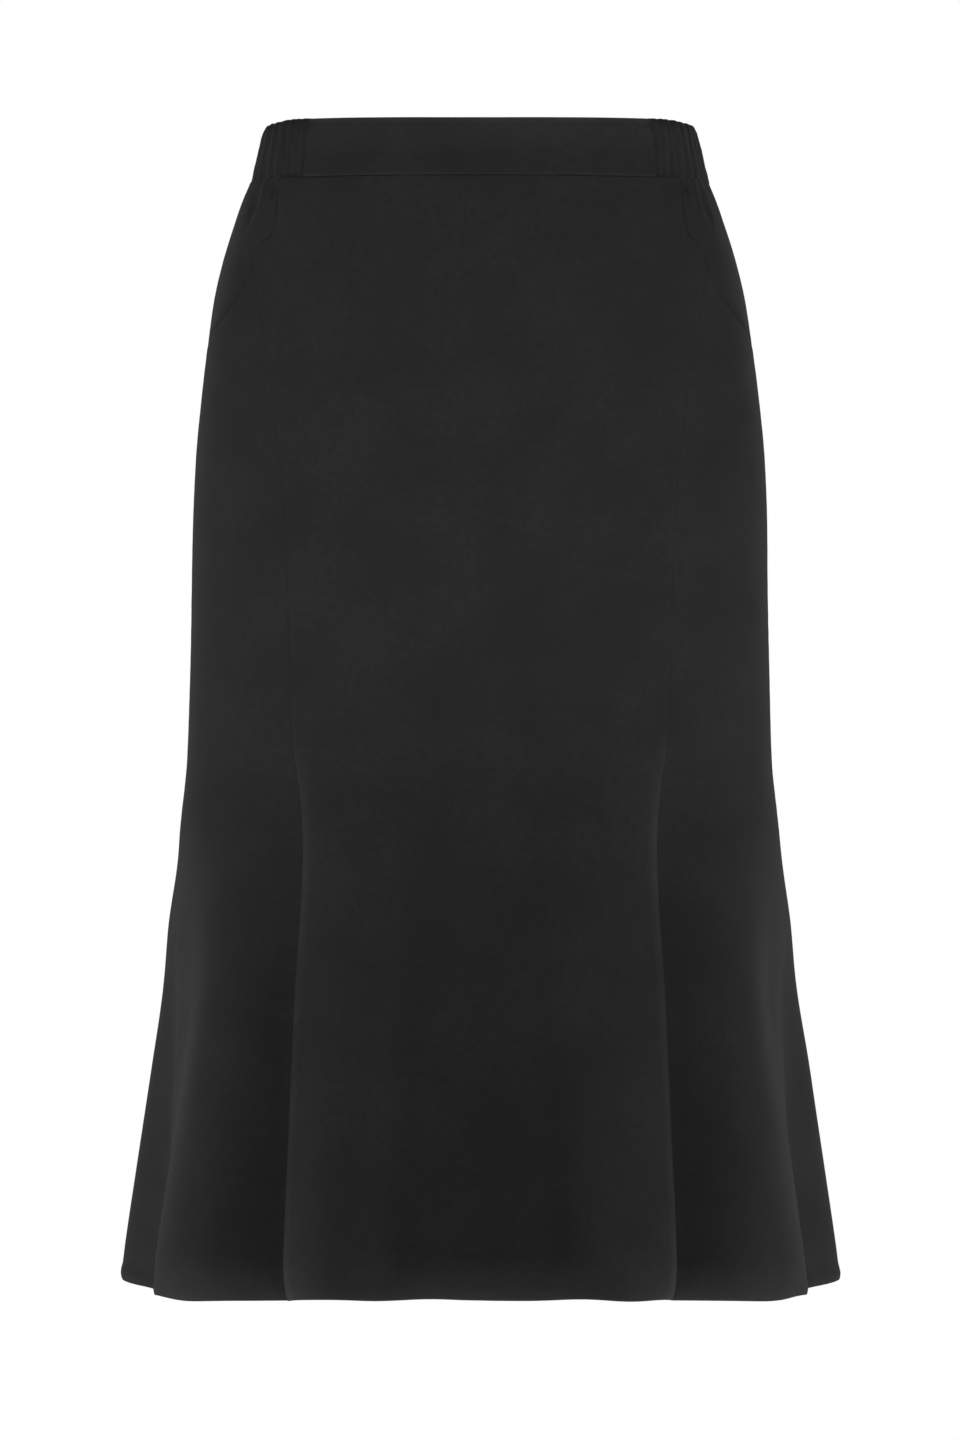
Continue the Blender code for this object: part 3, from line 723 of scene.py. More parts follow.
def hem_relief(hem_from, angle):
    """The pressed hem curls in where it hangs straight, and its fold bulges out on the side flutes."""
    flute = smooth_step(*SIDE_FLUTE_STARTS, half(angle)) * smooth_step(*SIDE_FLUTE_ENDS, half(angle))
    calm = HEM_CALM * bell(half(angle) - HEM_CALM_ANGLE, HEM_CALM_SPREAD)
    low = np.clip(1 - hem_from / HEM_CURL_HEIGHT, 0, 1) ** HEM_CURL_POWER
    curl = HEM_CURL * (1 - FLUTE_CALM * flute) * (1 - calm) * low
    bulge = HEM_BULGE * mix(BULGE_LEAST, 1, flute)
    return bulge * bell(hem_from - HEM_BULGE_AT, HEM_BULGE_SPREAD) - curl


# %% A gore, from its drops and angles
CUTS = {}           # how wide and long each piece's cloth is cut, in mm, and its area
UNFOLDED = -math.inf


def measure_cut(piece, base, length):
    tall = np.linalg.norm(np.diff(base, axis=0), axis=2)
    strips = (length[:-1, -1] + length[1:, -1]) / 2
    width, height = float(length[:, -1].max()), float(tall.sum(0).max())
    CUTS[piece.name] = width, height, float((strips * tall.mean(1)).sum())
    print(f"{piece.name}: {len(piece.data.polygons)} faces, cut {width:.0f} x {height:.0f} mm")


def make_gore(name, drop, angle, folds=(UNFOLDED, UNFOLDED), top_fold=False, extra=0.0, laps=(0, 0)):
    """folds gives, for the first and last edge, how far down it is a folded pocket mouth. top_fold makes
    the whole top edge one. extra is one more relief for this piece alone. laps is 1 for an edge with the
    seam allowances pressed under it, -1 for one below such an edge, and 0 for a seam pressed open."""
    base, normal = skirt_point(drop, angle), facing(drop, angle)
    length = lengths_along(base)
    hem_from = hem_drop(angle) - drop
    top_from = drop - drop[:1] if top_fold else np.maximum(drop - GORE_TOP, 0)
    relief = tucked_in(cloth_relief(drop, angle) + hem_relief(hem_from, angle) + extra, drop)
    stands = welted(drop)
    direction, inward, painted_light = normal, np.zeros_like(drop), np.zeros_like(drop)
    layers = np.full_like(drop, CLOTH)
    for edge, distance in enumerate((length, length[:, -1:] - length)):
        folded = (drop < folds[edge]).astype(float)
        mitre = seam_mitre(drop[:, -edge], angle[:, -edge], 2 * edge - 1)[:, None, :]
        mitre = mitre * (1 - folded[..., None]) + normal * folded[..., None]
        near = distance[..., None] < MITRE_REACH
        direction = np.where(near, toward(normal, mitre, distance), direction)
        roll, depth = SEAM_ROLL, seam_depth(drop)
        if laps[edge] > 0:
            roll, depth = mix(SEAM_ROLL, WELT_ROLL, stands), seam_depth(drop, WELT_DEPTH)
            # painted highlight: a lighter base colour along edges with the allowances pressed under them,
            # where the seams stand up
            painted_light = np.maximum(painted_light, stands * smooth_step(*PAINTED_LIGHT_WITHIN, distance))
        if laps[edge] < 0:
            depth = SEAM_DEPTH_ON_HIPS * (1 - stands)
            relief = relief - WELT_DEPTH * stands * bell(distance, WELT_REACH)
        relief = relief + pucker(drop, distance, edge) * (1 - folded)
        inward = np.maximum(inward, np.where(folded > 0, rolled(distance, FOLD_ROLL, FOLD_DEPTH),
                                             rolled(distance, roll, depth)))
        layers = np.maximum(layers, doubled(distance, ALLOWANCE, fade=2.2))
    inward = np.maximum(inward, rolled(hem_from, FOLD_ROLL, FOLD_DEPTH))
    inward = np.maximum(inward, rolled(top_from, TOP_ROLL, FOLD_DEPTH if top_fold else top_depth(angle)))
    layers = np.maximum(layers, doubled(hem_from, HEM_TURN, fade=0.6))
    if top_fold:
        layers = np.maximum(layers, doubled(top_from, ALLOWANCE, fade=2))
    outer = base + direction * (relief - inward)[..., None]
    inner = base + direction * (relief - np.maximum(layers, inward + THINNEST))[..., None]
    from_middle = length - length[:, length.shape[1] // 2][:, None]
    piece = shell(name, outer, inner, from_middle, painted_light)
    measure_cut(piece, base, length)
    return piece


def laid(shares, rows, first, last, slope=None):
    """The drop and angle of every point of a gore between two seams."""
    row, share = np.meshgrid(rows, shares, indexing="ij")
    hem = hem_drop(first(HEM_NOMINAL) * (1 - share) + last(HEM_NOMINAL) * share)
    drop = slope(share, row, hem) if slope else at_hem(row, hem)
    return drop, first(drop) * (1 - share) + last(drop) * share


# %% The centre front and centre back gores
MOUTH_LIFT, MOUTH_LIFT_AT, MOUTH_LIFT_SPREAD, MOUTH_LIFT_REACH = 1.3, 22.0, 20.0, 8.0
CORNER_ROWS = [MOUTH_CORNER - 0.4, MOUTH_CORNER + 0.4, 51.6, 54.9, 58.3, 64.8]      # at the mouth's bends


def mouth_lift(drop, angle, seam):
    """The pocket mouth gapes a little under the waistband: this lifts the gore's edge there."""
    away = np.radians(np.abs(half(angle) - seam)) * WAIST_RADIUS
    return MOUTH_LIFT * bell(drop - MOUTH_LIFT_AT, MOUTH_LIFT_SPREAD) * bell(away, MOUTH_LIFT_REACH)


rows = drops_down(GORE_TOP)
front_rows = np.unique(np.concatenate([rows, CORNER_ROWS]).round(3))
columns = shares_across(width=285, pitch=2.4)
drop, angle = laid(columns, front_rows, lambda d: -front_seam(d), front_seam)
front_centre = make_gore("centre_front_gore", drop, angle, folds=(MOUTH_CORNER, MOUTH_CORNER),
                         extra=mouth_lift(drop, angle, front_seam(drop)), laps=(1, 1))
drop, angle = laid(shares_across(width=290, pitch=2.0), rows, back_seam, lambda d: 360 - back_seam(d))
back_centre = make_gore("centre_back_gore", drop, angle, laps=(1, 1))


# %% The side back gores
def other_side(drop, angle):
    """The same lay on the wearer's right, with its columns still running the same way round."""
    return drop[:, ::-1], 360 - angle[:, ::-1]


drop, angle = laid(shares_across(width=165, pitch=2.0), rows, side_seam, back_seam)
back_side_left = make_gore("side_back_gore_left", drop, angle, laps=(0, -1))
back_side_right = make_gore("side_back_gore_right", *other_side(drop, angle), laps=(-1, 0))

# %% The side front gores, which hang from the slanted pocket mouth
ALONG_MOUTH = 6.0


def below_mouth(share, row, hem):
    """Rows follow the mouth for its first few millimetres, then fan out until they run level."""
    mouth, head = mouth_drop(share), np.minimum(row - MOUTH_CORNER, ALONG_MOUTH)
    fan = np.clip((row - MOUTH_CORNER - ALONG_MOUTH) / (LEVEL_FROM - MOUTH_CORNER - ALONG_MOUTH), 0, 1)
    fanned = mouth + head + (LEVEL_FROM - mouth - ALONG_MOUTH) * fan
    return np.where(row < LEVEL_FROM, fanned, at_hem(row, hem))


drop, angle = laid(shares_across(width=130), drops_down(MOUTH_CORNER), front_seam, side_seam, below_mouth)
front_side_left = make_gore("side_front_gore_left", drop, angle, top_fold=True, laps=(-1, 0))
drop, angle = other_side(drop, angle)
front_side_right = make_gore("side_front_gore_right", drop, angle, top_fold=True, laps=(0, -1))

# %% [markdown]
# ## The hip yokes
# Behind each pocket mouth the hip is covered by a yoke, the piece that carries on under the front and
# closes the pocket opening. It could stop at the mouth, but then light would leak in, so it reaches some
# millimetres under both folded edges, as the sewn one does, and lies just far enough in to clear them.
# %% The hip yokes
MOUTH_RECESS, UNDERLAP, TUCK_DEPTH = 0.9, 7.0, 2.8
MOUTH_SLANT = 0.85          # a height above the slanted mouth, times this, is the distance from it
MOUTH_GAPES = (34, 62)      # the drops where it starts to gape, and gapes in full
RECESS_ENDS = 0.25          # the share of its width, by the side seam, over which the recess dies out
TUCK_EDGE, TUCK_RUN, TUCK_RUN_GAPING = 0.4, 2.0, 2.4    # how the yoke sinks to pass under the mouth
YOKE_WIDE = 80.0
YOKE_COLUMNS = np.concatenate([np.linspace(-UNDERLAP, 0, 7), np.linspace(1.0, 77, 60),
                               [78.4, 79.2, 79.7, YOKE_WIDE]]) / YOKE_WIDE
YOKE_ROWS = np.concatenate([[-0.02], np.array(TOP_STEPS) / 100, np.linspace(0.075, 1, 40)])


def make_yoke(name, right=False):
    fall, share = np.meshgrid(YOKE_ROWS, YOKE_COLUMNS, indexing="ij")
    drop = mix(GORE_TOP, mouth_drop(share) + UNDERLAP, fall)
    mouth_edge = front_seam(np.minimum(drop, MOUTH_CORNER))
    angle = mix(mouth_edge, SIDE_ANGLE, share)
    inside_front = np.radians(angle - mouth_edge) * skirt_radius(drop, angle)
    from_mouth = np.minimum(inside_front, (mouth_drop(share) - drop) * MOUTH_SLANT)
    gape = smooth_step(*MOUTH_GAPES, drop)
    level = MOUTH_RECESS * np.clip((1 - share) / RECESS_ENDS, 0, 1) * gape
    past = (from_mouth - TUCK_EDGE) / (TUCK_RUN + TUCK_RUN_GAPING * gape)
    recess = mix(level, TUCK_DEPTH, smooth_step(0.8, 0.0, past))
    if right:
        drop, angle = other_side(drop, angle)
        recess = recess[:, ::-1]
    base, normal = skirt_point(drop, angle), facing(drop, angle)
    relief = tucked_in(cloth_relief(drop, angle), drop) - recess
    length = lengths_along(base)
    inward = rolled(length if right else length[:, -1:] - length, SEAM_ROLL, seam_depth(drop))
    outer = base + normal * (relief - inward)[..., None]
    inner = base + normal * (relief - CLOTH)[..., None]
    piece = shell(name, outer, inner, length, 0 * drop)
    measure_cut(piece, base, length)
    return piece


yoke_left = make_yoke("hip_yoke_left")
yoke_right = make_yoke("hip_yoke_right", right=True)

# %% [markdown]
# ## The waistband
# The band is one strip folded over at the top. In front it lies flat, leans back a little, and its ends
# are turned under and stand proud of the gathered part. Sweeping one rounded cross section round the
# waist makes the fold at the top and both faces in one go, which a flat strip with a bevel would not.
# %% The band's cross section: depth below the middle of the band, and distance out
BAND_PROUD, BAND_THICK, BAND_FOOT = 0.4, 2.2, 17.15
Profile = namedtuple("Profile", "drop out give")


def band_profile(proud, shrink=0.0, belly=0.0):
    """Up the outside, over the fold, and down the inside. give is how far gathers may move that point,
    shrink is how far the top draws in, and belly how far the middle of the outside swells."""
    outside = [Profile(BAND_FOOT, proud - 1.5, 0.5), Profile(BAND_FOOT, proud - 0.9, 0.6),
               Profile(17.0, proud - 0.45, 0.8), Profile(16.7, proud - 0.15, 1.0),
               Profile(16.2, proud - 0.02, 1.0), Profile(15.4, proud, 1.0)]
    outside += [Profile(drop, proud, 1.0) for drop in np.arange(14, -14, -2.5).tolist()]
    outside = [p._replace(out=p.out + belly * (1 - ((p.drop + 7) / 15) ** 2)) for p in outside]
    radius, fold = BAND_THICK / 2, []
    for step in range(9):
        turn = math.pi * step / 8
        fold.append(Profile(-BAND_HALF + radius - radius * math.sin(turn),
                            proud - radius + radius * math.cos(turn), 0.95 - 0.6 * step / 8))
    inside = [Profile(drop, proud - BAND_THICK, 0.35) for drop in (-13, -8, -3, 2, 7, 12, 17.2)]
    return [p._replace(out=p.out - shrink * max(0, (-p.drop - 10) / 7) ** 2)
            for p in outside + fold + inside]


BAND_WAVES = [(0.16, 7.3, 19, 0), (0.10, 3.1, -11, 1)]  # height, degrees and mm for a radian, and phase
RISES_BETWEEN = (0, -14)        # the drops between which the top edge's rise sets in


def swept_band(name, shares, profile, start, end, shape_ends, rise, paint_light_at=None):
    """Sweeps the profile from one angle to the other. shape_ends moves its points in or out near the
    ends, rise lifts the top edge, and the last argument is painted top light: how much lighter the base
    colour is painted at each drop. It returns the object, its arc lengths and its directions."""
    drop = np.array([p.drop for p in profile])[:, None] + 0 * shares[None, :]
    angle = mix(start(drop[:, 0])[:, None], end(drop[:, 0])[:, None], shares[None, :])
    base = skirt_point(drop, angle)
    normal = facing(np.zeros_like(drop), angle)
    normal[..., 2] = 0
    normal = unit(normal)
    length = lengths_along(base)
    out = shape_ends(np.array([p.out for p in profile])[:, None] + 0 * drop, from_ends(length))
    for height, turn, fall, phase in BAND_WAVES:
        out = out + height * np.sin(angle / turn + drop / fall + phase)
    points = base + normal * out[..., None]
    points[..., 2] += rise(length) * smooth_step(*RISES_BETWEEN, drop)
    index = np.arange(drop.size).reshape(drop.shape)
    below = np.roll(index, -1, axis=0)
    faces = quads(index[:, :-1], index[:, 1:], below[:, 1:], below[:, :-1]).tolist()
    faces += [index[:, 0].tolist(), index[::-1, -1].tolist()]
    steps = np.gradient(np.array([[p.drop, p.out] for p in profile]), axis=0)
    grain = np.stack([length, np.cumsum(np.hypot(*steps.T))[:, None] + 0 * length], -1)
    band = cloth_object(name, points, faces, grain, band_crepe, paint_light_at(drop) if paint_light_at else None)
    return band, length, normal


# %% The flat front
BAND_LEAN, END_ROUND = 3.2, 1.2     # how far it leans back by its top, and how soon its ends are full
FRONT_PROUD = 0.35           # how much further out it lies than the gathered casing
TOP_RISE = 0.8               # how far the band's top rises from the centre front to the flat front's ends
END_THINNEST = 0.04          # how thin an end is turned, as the square of a share of its thickness
# painted top light: how much lighter the flat front's upper half and its top fold are painted
UPPER_PAINTED_LIGHT, FOLD_PAINTED_LIGHT = 0.65, 1.6
END_SHARES = [0, 0.0006, 0.0016, 0.003, 0.0045, 0.007, 0.011]
flat_shares = np.concatenate([END_SHARES, np.linspace(0.018, 0.982, 76), 1 - np.array(END_SHARES)[::-1]])


def leaning_back(point):
    up = (BAND_HALF - point.drop) / (2 * BAND_HALF)
    return point._replace(out=point.out + FRONT_PROUD - BAND_LEAN * up**2)


def turned_under(out, edge):
    """The flat front's ends round off into a thin edge."""
    squeeze = np.sqrt(np.clip(1 - np.clip(1 - edge / END_ROUND, 0, 1) ** 2, END_THINNEST, 1))
    centre = BAND_PROUD - BAND_THICK / 2
    return centre + (out - centre) * squeeze


def painted_top_light(drop):
    """Painted top light: the flat front's upper half is painted lighter, and most of all the fold along
    its top.
    """
    return UPPER_PAINTED_LIGHT * smooth_step(10, -10, drop) + FOLD_PAINTED_LIGHT * smooth_step(-14.5, -BAND_HALF, drop)


front_profile = [leaning_back(point) for point in band_profile(BAND_PROUD)]
band_front, band_length, _ = swept_band(
    "waistband_flat_front", flat_shares, front_profile, lambda d: -flat_end(d), flat_end, turned_under,
    rise=lambda l: TOP_RISE * (2 * l / l[:, -1:] - 1) ** 2, paint_light_at=painted_top_light)
front_wide = float(band_length[0, -1])
CUTS[band_front.name] = front_wide, 2 * BAND_HALF, front_wide * (2 * BAND_HALF)
print(f"flat front: {len(band_front.data.polygons)} faces, cut {front_wide:.0f} mm wide")


# %% [markdown]
# ## The gathered casing
# Elastic pulls its casing into upright gathers, all alike and no two the same. That is a rule with some
# chance in it, so Geometry Nodes make them: each point of a smooth band knows how far round it lies, a
# sawtooth of that length counts the gathers, and each gets its own depth from a fixed seed. The casing's
# ends carry on a little below the flat front's, as sewn ones do, so that no light shows between them.
# %% Helpers for building Geometry Nodes trees
def new_tree(name, inputs):
    tree = bpy.data.node_groups.new(name, "GeometryNodeTree")
    tree.is_modifier = True
    tree.interface.new_socket("Geometry", in_out="INPUT", socket_type="NodeSocketGeometry")
    tree.interface.new_socket("Geometry", in_out="OUTPUT", socket_type="NodeSocketGeometry")
    for label, kind in inputs.items():
        tree.interface.new_socket(label, in_out="INPUT", socket_type="NodeSocket" + kind)
    return tree, tree.nodes.new("NodeGroupInput").outputs


def end_tree(tree, geometry, material):
    """Every tree ends alike: its instances are made real, and its material is set."""
    real = wire(tree, "GeometryNodeRealizeInstances", {"Geometry": geometry.outputs[0]})
    dressed = wire(tree, "GeometryNodeSetMaterial", {"Geometry": real.outputs[0], "Material": material})
    wire(tree, "NodeGroupOutput", {"Geometry": dressed.outputs[0]})
    print(f"{tree.name} tree: {len(tree.nodes)} nodes")


def combined(tree, **axes):
    return wire(tree, "ShaderNodeCombineXYZ", axes).outputs[0]


def grown(name, base, tree, values):
    """Runs a tree on a base mesh, and keeps the result as a plain mesh."""
    modifier = base.modifiers.new("grow", "NODES")
    modifier.node_group = tree
    for item in tree.interface.items_tree:
        if item.item_type == "SOCKET" and item.in_out == "INPUT" and item.name in values:
            modifier[item.identifier] = values[item.name]
    link(base)
    ready = bpy.context.evaluated_depsgraph_get()
    mesh = bpy.data.meshes.new_from_object(base.evaluated_get(ready), preserve_all_data_layers=True,
                                           depsgraph=ready)
    base.modifiers.clear()
    bpy.data.objects.remove(base, do_unlink=True)
    mesh.name = name
    mesh.shade_smooth()
    print(f"{name}: {len(mesh.polygons)} faces from Geometry Nodes")
    return link(bpy.data.objects.new(name, mesh))


# %% The tree that gathers a casing
LEAN_SCALE, FINE_SCALE, FINE_SHARE = 0.8, 2.6, 0.7      # noise that leans the gathers, and finer noise
UPWARD = 1.6                            # how much faster this noise changes up the band than round it
GATHER_LEAST, GATHER_SPREAD = 0.6, 0.55         # how tall a gather's ridge is
t, given = new_tree("gathers", {
    "Depth": "Float", "Wander": "Float", "Ruffle": "Float", "Seed": "Float", "Cloth": "Material"})
phase, free, height, topness, give, outward = (
    wire(t, "GeometryNodeInputNamedAttribute", {"Name": label}, data_type=kind).outputs["Attribute"]
    for label, kind in (("phase", "FLOAT"), ("free", "FLOAT"), ("height", "FLOAT"), ("topness", "FLOAT"),
                        ("give", "FLOAT"), ("outward", "FLOAT_VECTOR")))
spot = combined(t, X=sums(t, "ADD", phase, given["Seed"]), Y=sums(t, "MULTIPLY", height, UPWARD))
lean = sums(t, "SUBTRACT", noise(t, spot, LEAN_SCALE, 1.0, "2D"), 0.5)
lean = sums(t, "MULTIPLY", sums(t, "MULTIPLY", lean, height), free)
moved = sums(t, "MULTIPLY_ADD", lean, given["Wander"], phase)
to_valley = sums(t, "ABSOLUTE", sums(t, "MULTIPLY_ADD", sums(t, "FRACT", moved), 2.0, -1.0))
ridge = sums(t, "SUBTRACT", 1.0, sums(t, "POWER", to_valley, RIDGE_POWER))
own = wire(t, "ShaderNodeTexWhiteNoise", {"W": sums(t, "ADD", sums(t, "FLOOR", moved), given["Seed"])},
           noise_dimensions="1D").outputs["Value"]
tall = sums(t, "MULTIPLY_ADD", own, GATHER_SPREAD, GATHER_LEAST)
lift = sums(t, "SUBTRACT", sums(t, "MULTIPLY", ridge, tall), 0.5)
fine = sums(t, "SUBTRACT", noise(t, spot, FINE_SCALE, 1.0, "2D"), 0.5)
lift = sums(t, "MULTIPLY_ADD", fine, FINE_SHARE, lift)
lift = sums(t, "MULTIPLY", sums(t, "MULTIPLY", lift, given["Depth"]), give)
rise = sums(t, "MULTIPLY", sums(t, "MULTIPLY", lift, given["Ruffle"]), topness)
push = wire(t, "ShaderNodeVectorMath", {0: outward, "Scale": lift}, operation="SCALE")
offset = wire(t, "ShaderNodeVectorMath", {0: push.outputs[0], 1: combined(t, Z=rise)}, operation="ADD")
gathered = wire(t, "GeometryNodeSetPosition",
                {"Geometry": given["Geometry"], "Offset": offset.outputs[0]})
end_tree(t, gathered, given["Cloth"])
gather_tree = t

# %% The casing, smooth at first and then gathered
CASING_COLUMNS = 960
CASING_UNDER = 3.0          # how far each end runs in below the flat front's end
CASING_DIP, CASING_DIP_REACH, UNDER_DIP = 1.3, 2.4, 1.2     # how far in its ends dip, and what is under
FULLNESS = 1.35             # how much longer the casing's strip is than the elastic draws it up to
FREE_BY, GIVES_BY, GIVES_LEAST = 12, 3, 0.6     # how far past its ends gathers lean, and stand in full
under_turn = math.degrees(CASING_UNDER / MIDDLING_RADIUS)


def dipped_under(out, edge):
    """The casing's ends dip in beside the flat front's, and carry on below them."""
    seen = edge - CASING_UNDER
    out = out - CASING_DIP * bell(np.maximum(seen, 0), CASING_DIP_REACH)
    return out - UNDER_DIP * smooth_step(0, -CASING_UNDER - 0.01, seen)


casing_profile = band_profile(BAND_PROUD - 0.1, shrink=1.0, belly=0.6)
casing_base, arc, directions = swept_band(
    "casing_base", np.linspace(0, 1, CASING_COLUMNS + 1), casing_profile,
    lambda d: flat_end(d) - under_turn, lambda d: 360 - flat_end(d) + under_turn, dipped_under,
    rise=lambda l: TOP_RISE * smooth_step(42, 22, from_ends(l)))
bpy.context.scene.collection.objects.unlink(casing_base)
heights = np.array([p.drop for p in casing_profile])[:, None] + 0 * arc
gives = np.array([p.give for p in casing_profile])[:, None]
seen_from_end = from_ends(arc) - CASING_UNDER
seen_share = np.clip((arc - CASING_UNDER) / (arc[:, -1:] - 2 * CASING_UNDER), 0, 1)
for label, values in {
        "phase": gather_count(seen_share), "free": smooth_step(0, FREE_BY, seen_from_end),
        "height": (BAND_HALF - heights) / (2 * BAND_HALF),
        "topness": smooth_step(-9, -BAND_HALF, heights),
        "give": gives * mix(GIVES_LEAST, 1, smooth_step(0, GIVES_BY, seen_from_end))}.items():
    point_values(casing_base.data, label, "FLOAT", values)
point_values(casing_base.data, "outward", "FLOAT_VECTOR", directions)
casing = grown("waistband_gathered_casing", casing_base, gather_tree, {
    "Depth": 1.25 * MM, "Wander": 1.6, "Ruffle": 0.5, "Seed": 5.0, "Cloth": band_crepe})
casing_wide = float(arc[0, -1]) * FULLNESS
CUTS[casing.name] = casing_wide, 2 * BAND_HALF, casing_wide * (2 * BAND_HALF)

# %% [markdown]
# ## Stitches
# Machine stitches hold every seam. They lie at the bottom of the groove into which two gores roll, so from
# outside they hardly show, and the hem's catch its turned-up edge on the inside. One Geometry Nodes tree
# makes them all: it turns a path into evenly spaced points, puts a short thread on each, lying along the
# path, and varies each a little.
# %% The tree that sews along a path
TILT = Vector((0.05, 0.10, 0.10))       # how far a stitch may turn either way, in radians
t, given = new_tree("stitches", {
    "Pitch": "Float", "Length": "Float", "Thickness": "Float", "Unevenness": "Float", "Seed": "Int",
    "Thread": "Material"})
path = wire(t, "GeometryNodeMeshToCurve", {"Mesh": given["Geometry"]})
spaced = wire(t, "GeometryNodeResampleCurve", {"Curve": path.outputs[0], "Length": given["Pitch"]},
              mode="LENGTH")
bead = wire(t, "GeometryNodeMeshUVSphere", {"Segments": 6, "Rings": 4, "Radius": 0.5})
along = wire(t, "GeometryNodeInputTangent")
aligned = wire(t, "FunctionNodeAlignRotationToVector", {"Vector": along.outputs[0]}, axis="X")
swing = wire(t, "FunctionNodeRandomValue", {0: -TILT, 1: TILT, "Seed": given["Seed"]},
             data_type="FLOAT_VECTOR")
tilted = wire(t, "FunctionNodeRotateRotation",
              {"Rotation": aligned.outputs[0], "Rotate By": swing.outputs[0]}, rotation_space="LOCAL")
stretch = wire(t, "FunctionNodeRandomValue", {
    2: sums(t, "SUBTRACT", 1.0, given["Unevenness"]), 3: sums(t, "ADD", 1.0, given["Unevenness"]),
    "Seed": given["Seed"]}, data_type="FLOAT")
size = combined(t, X=sums(t, "MULTIPLY", given["Length"], stretch.outputs[1]), Y=given["Thickness"],
                Z=given["Thickness"])
sewn = wire(t, "GeometryNodeInstanceOnPoints", {"Points": spaced.outputs[0], "Instance": bead.outputs[0],
                                                "Rotation": tilted.outputs[0], "Scale": size})
end_tree(t, sewn, given["Thread"])
stitch_tree = t


# %% Paths for the stitches
def path_mesh(name, lines):
    points, edges = [], []
    for line in lines:
        start = len(points)
        points += (np.asarray(line) * MM).tolist()
        edges += [(start + i, start + i + 1) for i in range(len(line) - 1)]
    mesh = bpy.data.meshes.new(name)
    mesh.from_pydata(points, edges, [])
    return bpy.data.objects.new(name, mesh)


def lifted(drop, angle, direction, out):
    """A line through these drops and angles, this far out from the face of the cloth."""
    lift = cloth_relief(drop, angle) + hem_relief(hem_drop(angle) - drop, angle) + out
    return skirt_point(drop, angle) + direction * lift[..., None]


def round_line(drop, angle, out):
    return [lifted(drop, angle, facing(drop, angle), out)]


def seam_lines(seam, start, end, depth=SEAM_DEPTH):
    """A seam's line on both sides of the skirt, just below the bottom of its groove."""
    drop = np.arange(start, end, 4.0)
    return [lifted(drop, angle, seam_mitre(drop, angle, 1), -seam_depth(drop, depth) - 0.15)
            for angle in (seam(drop), 360 - seam(drop))]


# %% Stitches in the seams, under the waistband and round the hem
SEAM_PITCH, SEAM_STITCH = 2.4, 1.9
HEM_PITCH, HEM_STITCH = 7.0, 2.6
THREAD = 0.30


def sewn_along(name, lines, pitch, length, unevenness, seed):
    return grown(name, path_mesh(name + "_path", lines), stitch_tree, {
        "Pitch": pitch * MM, "Length": length * MM, "Thickness": THREAD * MM, "Unevenness": unevenness,
        "Seed": seed, "Thread": black_thread})


gore_lines = (seam_lines(front_seam, MOUTH_CORNER + 2, 671, WELT_DEPTH) + seam_lines(side_seam, 20, 676)
              + seam_lines(back_seam, 20, 671, WELT_DEPTH))
seam_stitches = sewn_along("seam_stitches", gore_lines, SEAM_PITCH, SEAM_STITCH, 0.12, 3)
all_round = np.arange(0, 361, 2.0)
waist_line = round_line(BAND_FOOT + 0 * all_round, all_round, -0.5)
waist_stitches = sewn_along("waist_seam_stitches", waist_line, SEAM_PITCH, SEAM_STITCH, 0.12, 4)
hem_line = round_line(hem_drop(all_round) - HEM_TURN - 0.4, all_round, -(2 * CLOTH) + 0.35)
hem_stitches = sewn_along("hem_stitches", hem_line, HEM_PITCH, HEM_STITCH, 0.2, 5)

# %% [markdown]
# ## Riding and replacing
# Each finished piece rides on the frame's one body and stands for its CAD node.
DRESSED = {
    "front_centre": (front_centre, "crepe"), "back_centre": (back_centre, "crepe"),
    "front_side_left": (front_side_left, "crepe"), "front_side_right": (front_side_right, "crepe"),
    "back_side_left": (back_side_left, "crepe"), "back_side_right": (back_side_right, "crepe"),
    "pocket_yoke_left": (yoke_left, "crepe"), "pocket_yoke_right": (yoke_right, "crepe"),
    "waistband_front": (band_front, "waistband"), "waistband_elastic": (casing, "waistband"),
}
for node, (piece, finish) in DRESSED.items():
    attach(piece, "root")
    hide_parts(node)
for stitches, finish in (
        (seam_stitches, "crepe"), (hem_stitches, "crepe"), (waist_stitches, "waistband")):
    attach(stitches, "root")

# %% Each sheet's flat cut, in metres
for node, (piece, finish) in DRESSED.items():
    width, length, area = CUTS[piece.name]
    width, length, area = width * MM, length * MM, area * MM * MM

# %% [markdown]
# ## Floor, air and light
# Catalogue pictures of clothes are lit softly from both sides, with one large light in front and above,
# on a white ground. The sides of black cloth then stay readable, while its middle falls into shade
# towards the hem, because the front light is kept to the upper half. A narrow reflector under the hem
# catches only the turn of its edge.
# %% The floor, which glows a little so that it stays pale to its edges
FLOOR_HALF, FLOOR_DOWN, FLOOR_GLOW = 12.0, -2.2, 0.45
floor_material, tree, shader = new_material("pale_floor")
fill(tree, shader, {"Base Color": (0.9, 0.9, 0.9, 1), "Roughness": 0.9, "Emission Color": (1, 1, 1, 1),
                    "Emission Strength": FLOOR_GLOW})
floor_mesh = bpy.data.meshes.new("floor")
floor_mesh.from_pydata([(x * FLOOR_HALF, y * FLOOR_HALF, FLOOR_DOWN)
                        for x, y in ((-1, -1), (1, -1), (1, 1), (-1, 1))], [], [(0, 1, 2, 3)])
floor_mesh.materials.append(floor_material)
floor = link(bpy.data.objects.new("floor", floor_mesh))
floor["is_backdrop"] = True

# %% The air: white to look at, gentler as a light
AIR_LIGHT = 0.10
world = bpy.data.worlds.new("studio")
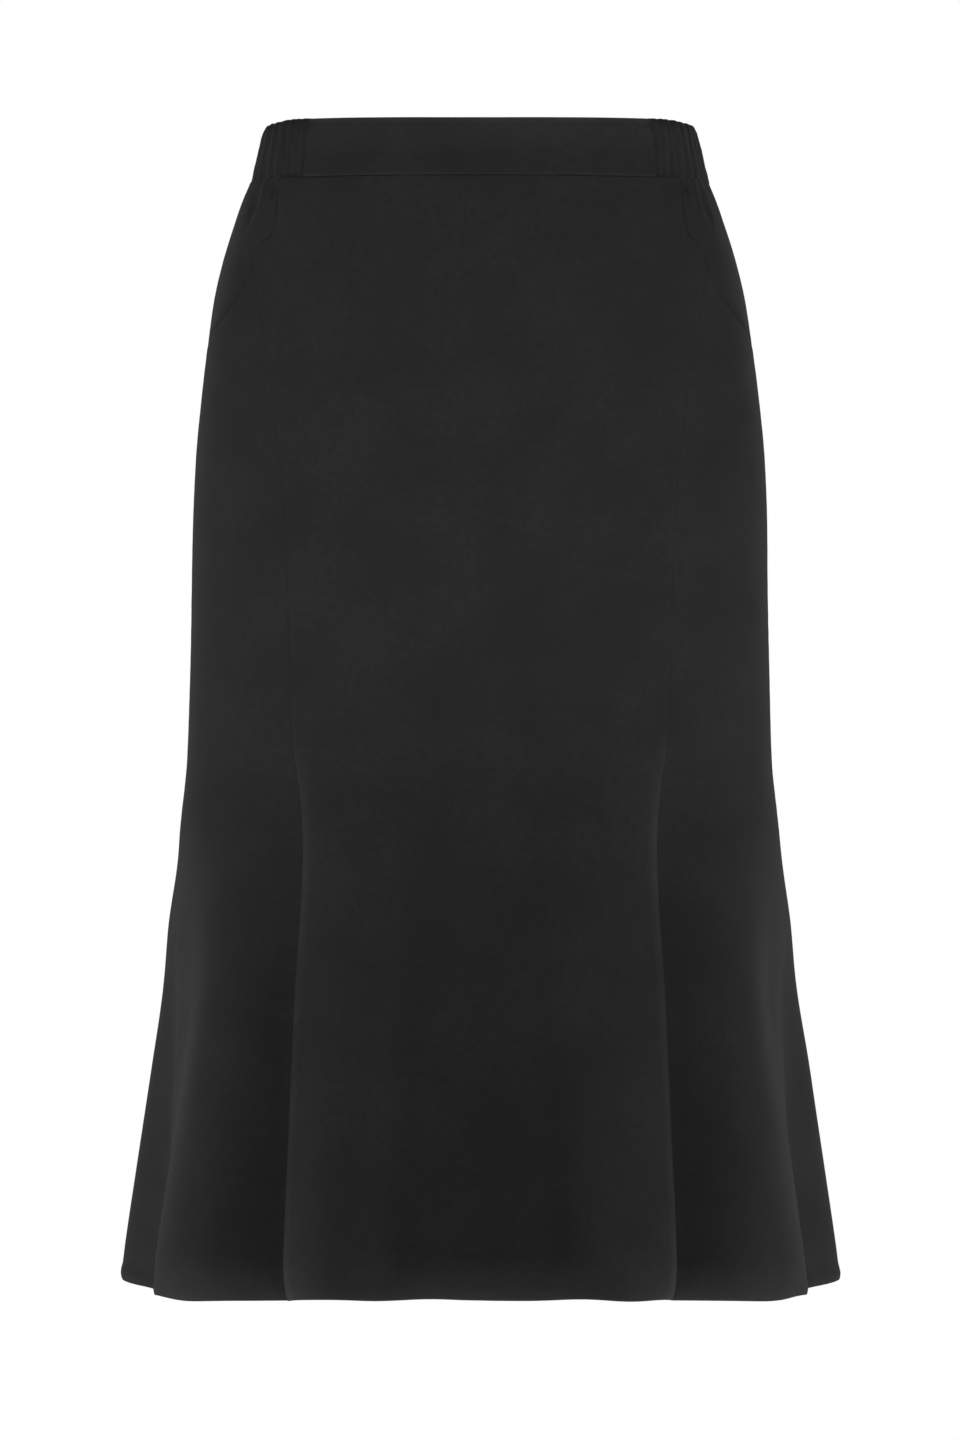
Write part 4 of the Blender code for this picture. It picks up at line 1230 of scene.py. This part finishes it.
world.use_nodes = True
bpy.context.scene.world = world
tree = world.node_tree
white = wire(tree, "ShaderNodeBackground", {"Color": (1, 1, 1, 1), "Strength": 1.0})
gentle = tree.nodes["Background"]
fill(tree, gentle, {"Color": (1, 1, 1, 1), "Strength": AIR_LIGHT})
seen = wire(tree, "ShaderNodeLightPath").outputs["Is Camera Ray"]
mixed = wire(tree, "ShaderNodeMixShader", {0: seen, 1: gentle.outputs[0], 2: white.outputs[0]})
fill(tree, tree.nodes["World Output"], {"Surface": mixed.outputs[0]})

# %% The lights
Light = namedtuple("Light", "name place target width height watts spread")
LIGHTS = rows_of(
    Light, ("side_strip", (1.5, 0.15, -0.5), (0, 0, -0.45), 0.35, 1.2, 2.6, 180),
    ("floor_reflector", (1.0, -0.3, -1.6), (0, -0.1, -0.6), 0.8, 0.8, 16.0, 180),
    ("front_softbox", (0, -2.2, 0.7), (0, -0.1, -0.15), 1.2, 0.5, 1.9, 35),
    ("hem_reflector", (0, -0.3, -1.8), (0, -0.17, -0.68), 1.2, 0.3, 1.35, 180),
    ("back_softbox", (1.2, 2.0, 0.0), (0, 0.1, -0.3), 0.6, 1.0, 1.2, 90),
    ("back_spot", (0, 2.2, 1.0), (0, 0.1, -0.3), 1.2, 0.8, 1.0, 90))
LIGHTS += [spec._replace(name=spec.name + "_2", place=(-spec.place[0], *spec.place[1:]))
           for spec in LIGHTS if spec.place[0]]
for spec in LIGHTS:
    data = bpy.data.lights.new(spec.name, "AREA")
    data.shape, data.size, data.size_y = "RECTANGLE", spec.width, spec.height
    data.energy, data.spread = spec.watts, math.radians(spec.spread)
    lamp = link(bpy.data.objects.new(spec.name, data))
    lamp.location = spec.place
    aim(lamp, spec.target)
    lamp.visible_camera = False
bpy.context.scene.view_settings.view_transform = "Standard"
print(len(LIGHTS), "lights")

# %% How far the dressed skirt reaches past the CAD box, printed
dressed_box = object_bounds()
growth = [[round((v - c) / MM, 1) for v, c in zip(*corners)] for corners in zip(dressed_box, cad_box)]
print("growth in mm:", growth)
